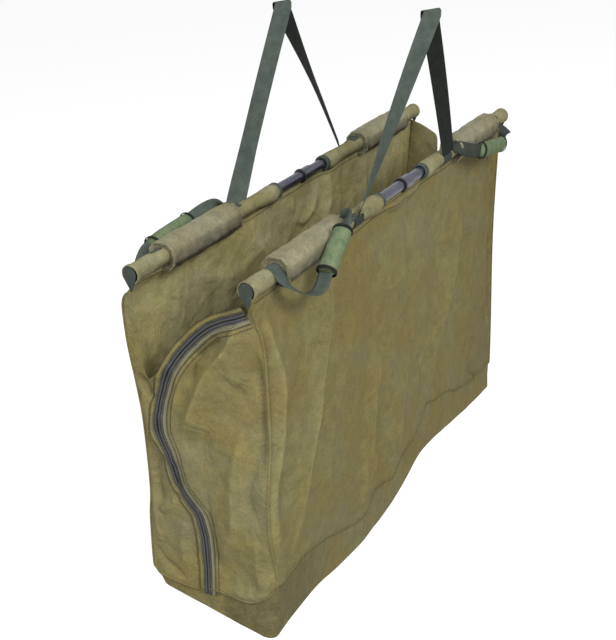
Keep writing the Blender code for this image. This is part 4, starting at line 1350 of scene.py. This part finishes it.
def float_mesh(side, way):
    """One covered float block, with recessed ends round the sleeve."""
    block = bmesh.new()
    bmesh.ops.create_cube(block, size=1.0)
    length = float_outer - float_inner
    bmesh.ops.scale(block, verts=block.verts, vec=(length, float_half * 2, float_half * 2))
    long_edges = [e for e in block.edges
                  if abs(e.verts[0].co.x - e.verts[1].co.x) > length / 2]
    bmesh.ops.bevel(block, geom=long_edges, offset=cut_corner, segments=1, profile=0.5,
                    affect="EDGES", material=-1)
    caps = [f for f in block.faces if abs(f.normal.x) > 0.9]
    bmesh.ops.inset_region(block, faces=caps, thickness=cap_margin, depth=0.0)
    caps = [f for f in block.faces if abs(f.normal.x) > 0.9 and len(f.verts) > 4]
    bmesh.ops.inset_region(block, faces=caps, thickness=cap_step, depth=-cap_depth)
    crisp = [e for e in block.edges if e.calc_face_angle(0) > 0.5]
    bmesh.ops.bevel(block, geom=crisp, offset=crisp_round, segments=3, profile=0.5,
                    affect="EDGES", material=-1)
    cuts = [(Vector((-length / 2 + length * cut / long_cuts, 0, 0)), (1, 0, 0))
            for cut in range(1, long_cuts)]
    for across in ((0, 1, 0), (0, 0, 1)):
        cuts += [(Vector(across) * cut * cross_pitch, across)
                 for cut in range(-cross_cuts, cross_cuts + 1)]
    for spot, normal in cuts:
        everything = list(block.verts) + list(block.edges) + list(block.faces)
        bmesh.ops.bisect_plane(block, geom=everything, plane_co=spot, plane_no=normal)
    bmesh.ops.triangulate(block, faces=[f for f in block.faces if len(f.verts) > 4])
    block.normal_update()
    tone = block.verts.layers.float.new("fold")
    shifts = []
    for vert in block.verts:
        share = abs(vert.co.x) / (length / 2)
        belly = belly_high * (1 - share ** 4)
        wrinkle = noise.noise(vert.co * 42 + Vector((way * 7, len(side), 0)))
        pucker = pucker_high * math.sin(vert.co.y * 420 + vert.co.z * 310) * share ** 10
        shifts.append(vert.normal * (belly + wrinkle_high * wrinkle + pucker - cover_sink))
        # Painted shade on the lower half's sides and underside; the wrinkles are painted paler
        # where they rise and darker where they sink.
        shade = float(ease((0.55 - vert.normal.z) / 0.9) * ease((0.012 - vert.co.z) / 0.02))
        seam = math.exp(-((share - 0.955) / 0.012) ** 2)
        vert[tone] = -0.62 * shade - 0.14 * seam + 0.09 * wrinkle
    for vert, shift in zip(block.verts, shifts):
        vert.co += shift
    middle = at(way * (float_inner + float_outer) / 2, rails[side], rail_up)
    bmesh.ops.translate(block, verts=block.verts, vec=middle)
    bmesh.ops.recalc_face_normals(block, faces=block.faces)
    return block


for side in rails:
    for end, way in ends.items():
        cover = finish_piece(float_mesh(side, way), side + "_float_block_" + end, float_cloth,
                             side + "_side",
                             (side + "_float_cover_" + end, side + "_float_" + end))


# %% [markdown]
# ## Weigh straps
#
# Each weigh strap is one length of flat webbing, sewn to the sleeves on both sides of the
# bare pole and folded over at the top. Its legs twist on the way up, some more than others:
# a leg sewn flat along the pole shows its edge there. A flat strap is swept along its middle
# line with a side vector at each point, and its back gets a nearly black copy of the webbing
# as painted shade.

# %% Sweep webbing and make the straps
def webbing_strip(points, sides, width, across_steps=6):
    """An open strip of webbing with its width along sides."""
    def place(along, across):
        index = at_share(along, len(points))
        return points[index] + sides[index] * ((across - 0.5) * width)[:, None]

    return cloth_grid(len(points) - 1, across_steps, place, line_length(points), width)


def two_sided_band(points, sides, width, thickness=webbing_thick, row=7):
    """A closed band of webbing whose back takes the second material."""
    faces = np.cross(directions(points), sides)
    front = np.linspace(-0.5, 0.5, row)
    across = np.concatenate([front, front[::-1], front[:1]])
    out = np.concatenate([np.full(row, -0.5), np.full(row, 0.5), [-0.5]])

    def place(along, about):
        index, corner = at_share(along, len(points)), at_share(about, len(across))
        return (points[index] + sides[index] * (across[corner] * width)[:, None]
                + faces[index] * (out[corner] * thickness)[:, None])

    band = cloth_grid(len(points) - 1, 2 * row, place, line_length(points), width * 2)
    close_round(band, capped=True)
    for face in band.faces:
        centre = np.array(face.calc_center_median()) - world_offset
        nearest = ((points - centre) ** 2).sum(axis=1).argmin()
        # The back's faces take the nearly black webbing as painted shade.
        if (centre - points[nearest]) @ faces[nearest] > thickness * 0.3:
            face.material_index = 1
    return band


def squared(points, sides):
    """Turn side vectors square to the line and make them one long."""
    along = directions(points)
    sides = sides - along * (sides * along).sum(axis=1)[:, None]
    return sides / np.linalg.norm(sides, axis=1)[:, None]


strap_tops = {"near": (-0.012, near_rail - 0.083, rail_up + 0.353),
              "far": (0.0, far_rail + 0.011, rail_up + 0.364)}
strap_feet = {("near", "left"): -foot_middle, ("near", "right"): foot_middle,
              ("far", "left"): -foot_middle - 0.012, ("far", "right"): foot_middle}
strap_turns = {
    ("near", "left"): [(0, 24), (0.25, 2), (0.5, -14), (0.75, -26), (1, -33)],
    ("near", "right"): [(0, -10), (0.5, -22), (1, -33)],
    ("far", "left"): [(0, -55), (0.12, -38), (0.3, -25), (0.6, -24), (1, -24)],
    ("far", "right"): [(0, 28), (0.25, 24), (0.5, 18), (0.75, 2), (1, -24)],
}


leg_points, arch_points, fold_radius = 81, 11, 0.006
leg_off, leg_rise, leg_bow = 0.0012, 0.0076, 0.004  # off the sleeve, above the pole, aside


def strap_line(side):
    """The middle line of a weigh strap, and its width's direction at each point."""
    top_x, top_across, top_height = strap_tops[side]
    foot_y = rails[side] + outwards[side] * (sleeve_radius + leg_off)
    top_turn = math.radians(strap_turns[side, "left"][-1][1])
    fold_side = np.array((math.cos(top_turn), math.sin(top_turn), 0))
    fold_across = np.array((-fold_side[1], fold_side[0], 0))
    fold_middle = np.array((top_x, top_across, top_height - fold_radius))
    share = np.linspace(0, 1, leg_points)
    legs = {}
    for end, sign in ends.items():
        start = np.array((strap_feet[side, end], foot_y, rail_up + leg_rise))
        stop = fold_middle + fold_across * sign * fold_radius
        turn = np.radians(reader(strap_turns[side, end])(share))
        points = start + (stop - start) * share[:, None]
        points[:, 0] += np.sin(np.pi * share) * leg_bow * sign
        legs[end] = (points, np.column_stack([np.cos(turn), np.sin(turn), turn * 0]))
    turn = np.pi * np.arange(1, arch_points + 1) / (arch_points + 1)
    arch = (fold_middle - fold_across * fold_radius * np.cos(turn)[:, None]
            + np.column_stack([turn * 0, turn * 0, fold_radius * np.sin(turn)]))
    points = np.vstack([legs["left"][0], arch, legs["right"][0][::-1]])
    sides = np.vstack([legs["left"][1], np.tile(fold_side, (arch_points, 1)),
                       legs["right"][1][::-1]])
    return points, squared(points, sides)


for side in rails:
    points, sides = strap_line(side)
    finish_piece(two_sided_band(points, sides, strap_width), side + "_strap",
                 (webbing, black_binding_and_shade_webbing), side + "_strap",
                 (side + "_weigh_strap",))


# %% Make the sewn feet
foot_points, foot_low_deg, foot_high_deg = 13, 50, 26


def anchor_strip(side, foot_x):
    """A strap's foot, wrapped down round the sleeve."""
    stand = sleeve_radius + foot_thick
    share = np.linspace(0, 1, foot_points)
    start = 180 if side == "near" else 0
    wrap = foot_low_deg * share - foot_high_deg * (1 - share)
    turn = np.radians(start - outwards[side] * wrap)
    points = np.column_stack([turn * 0 + foot_x, rails[side] + stand * np.cos(turn),
                              rail_up + stand * np.sin(turn)])
    return points, np.tile((1.0, 0.0, 0.0), (foot_points, 1))


for side in rails:
    for end, way in ends.items():
        points, sides = anchor_strip(side, strap_feet[side, end])
        foot_mesh = webbing_strip(points, sides, strap_width)
        face_towards(foot_mesh, (0, outwards[side], 0))
        # The foot takes the darker webbing as painted shade.
        finish_piece(foot_mesh, side + "_strap_foot_" + end, shadow_webbing,
                     side + "_side", (side + "_strap_anchor_" + end,), thick=foot_thick)


# %% [markdown]
# ## Carry handles
#
# A handle is webbing sewn round the sleeve at both ends of a float. Between them it hangs in
# a loop outside the float, and a rolled pad in green knit is sewn round its middle. Each
# handle has fallen differently, so each has its own table: the place along the pole, out
# from it and above it, and the direction of the webbing's width.

# %% Tables of the handles
handle_width = 0.030
grip_rows = (6, 8)  # the rows of a table between which the grip lies
outer_rows = 6  # the rows round the sleeve that come before a table's own
fallen = {
    ("near", "left"): [
        (0.519, 0.023, -0.006, 1, 0, 0), (0.512, 0.034, -0.021, 0.7, 0.7, 0),
        (0.495, 0.043, -0.037, 0.25, 0.95, 0), (0.472, 0.048, -0.049, 0, 1, 0),
        (0.450, 0.050, -0.051, 0, 1, 0.1), (0.433, 0.049, -0.043, 0, 1, 0.2),
        (0.421, 0.048, -0.031, 0, 1, 0.2), (0.379, 0.048, -0.001, 0, 1, 0.3),
        (0.338, 0.047, 0.029, 0, 0.9, 0.4), (0.318, 0.041, 0.037, 0.3, 0.7, 0.5),
        (0.292, 0.031, 0.034, 0.8, 0.3, 0.4), (0.268, 0.019, 0.023, 1, 0, 0.2)],
    ("near", "right"): [
        (0.521, 0.022, -0.006, 1, 0, 0), (0.522, 0.030, -0.014, 0.9, 0, 0.4),
        (0.521, 0.036, -0.022, 0.7, 0, 0.7), (0.515, 0.040, -0.029, 0.4, 0, 0.9),
        (0.507, 0.043, -0.034, 0.2, 0, 1), (0.498, 0.044, -0.036, 0.1, 0, 1),
        (0.487, 0.045, -0.037, 0, 0.1, 1), (0.410, 0.046, -0.026, 0, 0.1, 1),
        (0.335, 0.044, -0.016, 0, 0.1, 1), (0.310, 0.038, -0.008, 0, 0, 1),
        (0.285, 0.030, 0.002, 0.3, 0, 1), (0.266, 0.021, 0.010, 0.8, 0, 0.6)],
    ("far", "left"): [
        (0.521, 0.022, -0.006, 1, 0, 0), (0.523, 0.030, -0.013, 0.9, 0.4, 0),
        (0.519, 0.037, -0.018, 0.6, 0.8, 0), (0.509, 0.043, -0.018, 0.3, 1, 0),
        (0.497, 0.047, -0.012, 0, 1, 0.3), (0.484, 0.049, -0.006, 0, 0.8, 0.6),
        (0.472, 0.050, -0.001, 0, 0.8, 0.6), (0.405, 0.051, 0.004, 0, 0.8, 0.6),
        (0.337, 0.050, 0.008, 0, 0.8, 0.6), (0.308, 0.044, 0.016, 0.2, 0.7, 0.6),
        (0.282, 0.032, 0.022, 0.7, 0.4, 0.5), (0.265, 0.020, 0.020, 1, 0, 0.3)],
    ("far", "right"): [
        (0.521, 0.022, -0.006, 1, 0, 0), (0.523, 0.030, -0.018, 0.9, 0.4, 0),
        (0.519, 0.037, -0.028, 0.6, 0.8, 0), (0.509, 0.043, -0.034, 0.3, 1, 0),
        (0.497, 0.047, -0.036, 0, 1, 0.3), (0.484, 0.048, -0.036, 0, 0.4, 0.9),
        (0.472, 0.048, -0.036, 0, 0.2, 1), (0.405, 0.048, -0.036, 0, 0.2, 1),
        (0.337, 0.048, -0.034, 0, 0.2, 1), (0.312, 0.044, -0.026, 0.1, 0.2, 1),
        (0.286, 0.033, -0.010, 0.5, 0.1, 0.8), (0.266, 0.021, 0.008, 1, 0, 0.3)],
}


row_points, smoothing_passes = 12, 40


def handle_line(side, end):
    """A handle's middle line and its width's direction."""
    way = ends[end]
    band = sleeve_radius + 0.0013
    outer_x = float_outer + 0.0003 + handle_width / 2
    inner_x = float_inner - 0.0003 - handle_width / 2
    knots = [(outer_x, -band * math.cos(turn), band * math.sin(turn), 1, 0, 0)
             for turn in np.radians(np.linspace(82, 168, outer_rows))]
    knots += fallen[side, end]
    knots += [(inner_x, -band * math.cos(turn), band * math.sin(turn), 1, 0, 0)
              for turn in np.radians(np.linspace(125, 60, 5))]
    knots = np.array(knots, float)
    turned = np.array((way, outwards[side], 1))
    where = np.arange(row_points * (len(knots) - 1) + 1) / row_points
    line = np.column_stack([np.interp(where, np.arange(len(knots)), knots[:, k])
                            for k in range(6)])
    for turn in range(smoothing_passes):
        line[1:-1] = (line[:-2] + 2 * line[1:-1] + line[2:]) / 4
    points = line[:, :3] * turned + (0, rails[side], rail_up)
    return points, squared(points, line[:, 3:] * turned)


# %% Make the handles and their grips
grip_half, flat_half, thin_half = 0.0180, 0.0160, 0.0125
grip_long, grip_round, grip_band_long = 0.12, 0.10, 0.006


def grip_mesh(core, wide, face, flat):
    """The rolled pad round the handle's middle, with the tone of its seam."""
    def place(share, about):
        index = at_share(share, len(core))
        angle = math.tau * about
        ends_in = np.clip(1 - np.abs(2 * share - 1) ** 14, 0.0, 1) ** 0.5
        around = np.column_stack([np.cos(angle), np.sin(angle), angle * 0]) * 0.02
        soft = 1 + 0.05 * ripple(core[index] + around, 0.02, 5.0)
        grow = (0.55 + 0.45 * ends_in) * soft
        tone = -0.35 * np.exp(-((about - 0.30) / 0.02) ** 2)
        spots = (core[index] + wide[index] * (np.cos(angle) * grip_half * grow)[:, None]
                 + face[index] * (np.sin(angle) * flat * grow)[:, None])
        return np.column_stack([spots, tone])

    pad = cloth_grid(len(core) - 1, 32, place, grip_long, grip_round)
    close_round(pad, capped=True)
    return pad


def grip_band(middle, along, wide, face, flat):
    """A dark binding round one end of a grip."""
    def place(share, about):
        angle = math.tau * about
        swell = 1.04 + 0.05 * np.sin(np.pi * share)
        return (middle + along * ((share - 0.5) * grip_band_long)[:, None]
                + wide * (np.cos(angle) * grip_half * swell)[:, None]
                + face * (np.sin(angle) * flat * swell)[:, None])

    band = cloth_grid(5, 32, place, grip_band_long, grip_round)
    close_round(band)
    return band


for side in rails:
    for end, way in ends.items():
        body = side + "_handle_" + end + "_swing"
        points, sides = handle_line(side, end)
        flattened = (side, end) == ("near", "right")
        loop_mesh = webbing_strip(points, sides, handle_width)
        bmesh.ops.recalc_face_normals(loop_mesh, faces=loop_mesh.faces)
        # The near right handle's webbing takes the darker copy as painted shade.
        finish_piece(loop_mesh, side + "_handle_webbing_" + end,
                     shadow_webbing if flattened else webbing, body,
                     (side + "_handle_" + end,), thick=webbing_thick)
        first, last = (row_points * (outer_rows + row) for row in grip_rows)
        along = directions(points)
        face = np.cross(along, sides)
        flat = thin_half if flattened else flat_half
        padded = slice(first, last + 1)
        pad = finish_piece(grip_mesh(points[padded], sides[padded], face[padded], flat),
                           side + "_grip_pad_" + end, grip_knit, body,
                           (side + "_grip_" + end,))
        for number, spot in (("1", first + 1), ("2", last - 1)):
            band_mesh = grip_band(points[spot], along[spot], sides[spot], face[spot], flat)
            finish_piece(band_mesh, side + "_grip_binding_" + end + "_" + number,
                         black_binding_and_shade_webbing, body, thick=binding_thick)

# %% [markdown]
# ## Zip sliders and pulls
#
# The slider is a small casting: a body that narrows towards its tail, with a bridge over
# its middle that carries the pull. The pull is a bar with a hole.

# %% Make the sliders and pulls
def boxed(mesh, size, middle, axes, offset):
    """Add a bevelled bar in a turned frame."""
    made = bmesh.ops.create_cube(mesh, size=1.0)
    bmesh.ops.scale(mesh, verts=made["verts"], vec=size)
    bmesh.ops.transform(mesh, matrix=Matrix.Translation(middle) @ axes.to_4x4(),
                        verts=made["verts"])
    edges = list({edge for vert in made["verts"] for edge in vert.link_edges})
    bmesh.ops.bevel(mesh, geom=edges, offset=offset, segments=2, profile=0.5,
                    affect="EDGES", material=-1)


slider_turn_deg = 65
slider_bars = (((0.017, 0.012, 0.0016), -0.0012, 0.0006),  # size, place outwards, rounding
               ((0.014, 0.010, 0.0014), 0.0006, 0.0005),
               ((0.009, 0.0034, 0.0012), 0.0019, 0.0004))
pull_thick, rail_aside, rail_wide, rung_long, rung_wide = 0.0014, 0.0031, 0.0018, 0.0026, 0.0078
pull_round, plate_round = 0.0005, 0.0004
for end, way in ends.items():
    low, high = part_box(end + "_zip_slider")
    middle = (low + high) / 2
    turn = math.radians(slider_turn_deg)
    along = Vector((0, math.sin(turn), -math.cos(turn)))
    out = Vector((way, 0, 0))
    axes = Matrix((along, out.cross(along), out)).transposed()
    slider_mesh = bmesh.new()
    for size, off, rounding in slider_bars:
        boxed(slider_mesh, size, middle + out * off, axes, rounding)
    finish_piece(slider_mesh, end + "_slider_body", zip_metal, end + "_slider",
                 (end + "_zip_slider",))
    low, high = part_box(end + "_zip_pull")
    middle = (low + high) / 2
    length = high.z - low.z
    level = Matrix(((0, 0, 1), (0, 1, 0), (1, 0, 0)))
    pull_mesh = bmesh.new()
    for across in (-rail_aside, rail_aside):
        boxed(pull_mesh, (length, rail_wide, pull_thick), middle + Vector((0, across, 0)),
              level, pull_round)
    for share in (-0.46, 0.10, 0.46):
        boxed(pull_mesh, (rung_long, rung_wide, pull_thick),
              middle + Vector((0, 0, share * length)), level, pull_round)
    boxed(pull_mesh, (0.40 * length, 0.0062, 0.0010), middle - Vector((0, 0, 0.2 * length)),
          level, plate_round)
    finish_piece(pull_mesh, end + "_pull_tab", zip_metal, end + "_pull",
                 (end + "_zip_pull",))

# %% [markdown]
# ## Floor, light and camera
#
# The floor lies well below the hanging sling and stays white in view, while it still
# takes the sling's soft shadow. The light is plain: a white sky and two broad panels high
# up, one at the left end and one on the near left, which also reach the inside of the far
# wall. The camera was solved from the places of the poles' ends and the base's corners.

# %% Lay the floor
floor_half, floor_depth, floor_glow, sky_strength = 40.0, 0.60, 0.72, 0.36
floor_mesh = bmesh.new()
bmesh.ops.create_grid(floor_mesh, x_segments=2, y_segments=2, size=floor_half)
bmesh.ops.translate(floor_mesh, verts=floor_mesh.verts, vec=at(0, 0, -floor_depth))
floor_data = bpy.data.meshes.new("floor")
floor_mesh.to_mesh(floor_data)
floor_mesh.free()
floor = bpy.data.objects.new("floor", floor_data)
bpy.context.scene.collection.objects.link(floor)
floor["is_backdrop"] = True


def seen_rays(tree):
    """One for rays from the camera, from gloss and through glass; zero for the others."""
    path = add_node(tree, "LightPath")
    first = combined(tree, "MAXIMUM", path.outputs["Is Camera Ray"],
                     path.outputs["Is Glossy Ray"])
    return combined(tree, "MAXIMUM", first, path.outputs["Is Transmission Ray"])


def show_by_ray(tree, unseen, seen, kind):
    """Give an output of a kind one shader for seen rays and another for the rest."""
    chosen = add_node(tree, "MixShader")
    for source, socket in zip((seen_rays(tree), unseen, seen), chosen.inputs):
        tree.links.new(source, socket)
    tree.links.new(chosen.outputs[0], add_node(tree, kind).inputs[0])


floor_paint = bpy.data.materials.new("floor_paint")
floor_paint.use_nodes = True
floor_tree = floor_paint.node_tree
floor_tree.nodes.clear()
plain = add_node(floor_tree, "BsdfDiffuse", {"Color": (0.6, 0.6, 0.6, 1)})
glow = add_node(floor_tree, "Emission", {"Color": (1, 1, 1, 1), "Strength": floor_glow})
together = add_node(floor_tree, "AddShader")
floor_tree.links.new(plain.outputs[0], together.inputs[0])
floor_tree.links.new(glow.outputs[0], together.inputs[1])
show_by_ray(floor_tree, plain.outputs[0], together.outputs[0], "OutputMaterial")
floor_data.materials.append(floor_paint)

# %% Light the scene
world = bpy.data.worlds.new("sky")
bpy.context.scene.world = world
world.use_nodes = True
sky_tree = world.node_tree
sky_tree.nodes.clear()
sky_seen = add_node(sky_tree, "Background", {"Color": (1, 1, 1, 1), "Strength": 1.0})
sky_light = add_node(sky_tree, "Background",
                     {"Color": (0.98, 0.99, 1, 1), "Strength": sky_strength})
show_by_ray(sky_tree, sky_light.outputs[0], sky_seen.outputs[0], "OutputWorld")

panel_size = 2.5
lit_place = at(0, 0, 0.35)
for name, place, power in (("key", at(-5.3, -0.7, 4.8), 205),
                           ("front", at(-2.5, -5.0, 4.4), 295)):
    lamp = bpy.data.lights.new(name, "AREA")
    lamp.energy = power
    lamp.size = panel_size
    panel = bpy.data.objects.new(name, lamp)
    bpy.context.scene.collection.objects.link(panel)
    panel.location = place
    panel.rotation_mode = "QUATERNION"
    panel.rotation_quaternion = (lit_place - place).to_track_quat("-Z", "Y")

# %% Place the camera
camera_right_deg, camera_up_deg, camera_roll_deg = -59.6567, 23.4566, -4.2512
camera_place = at(-2.03475, -1.06909, 1.38184)
focal_pixels, picture_pixels, sensor_mm = 1144.74, 640, 36.0
turned = math.radians(camera_right_deg)
raised = math.radians(camera_up_deg)
rolled = math.radians(camera_roll_deg)
back = Vector((math.sin(turned) * math.cos(raised), -math.cos(turned) * math.cos(raised),
               math.sin(raised)))
right = Vector((math.cos(turned), math.sin(turned), 0))
up = back.cross(right)
rolled_right = right * math.cos(rolled) + up * math.sin(rolled)
rolled_up = up * math.cos(rolled) - right * math.sin(rolled)
lens_data = bpy.data.cameras.new("camera")
lens_data.sensor_width = sensor_mm
lens_data.lens = sensor_mm * focal_pixels / picture_pixels
camera = bpy.data.objects.new("camera", lens_data)
bpy.context.scene.collection.objects.link(camera)
camera.matrix_world = Matrix.Translation(camera_place) @ Matrix(
    (rolled_right, rolled_up, back)).transposed().to_4x4()
bpy.context.scene.camera = camera
bpy.context.scene.view_settings.view_transform = "Standard"

# %% Keep the two boxes, and finish
new_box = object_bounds()
for name, old, new in zip(("low", "high"), cad_box, new_box):
    print(name, "CAD", [round(v, 4) for v in old], "visual", [round(v, 4) for v in new])
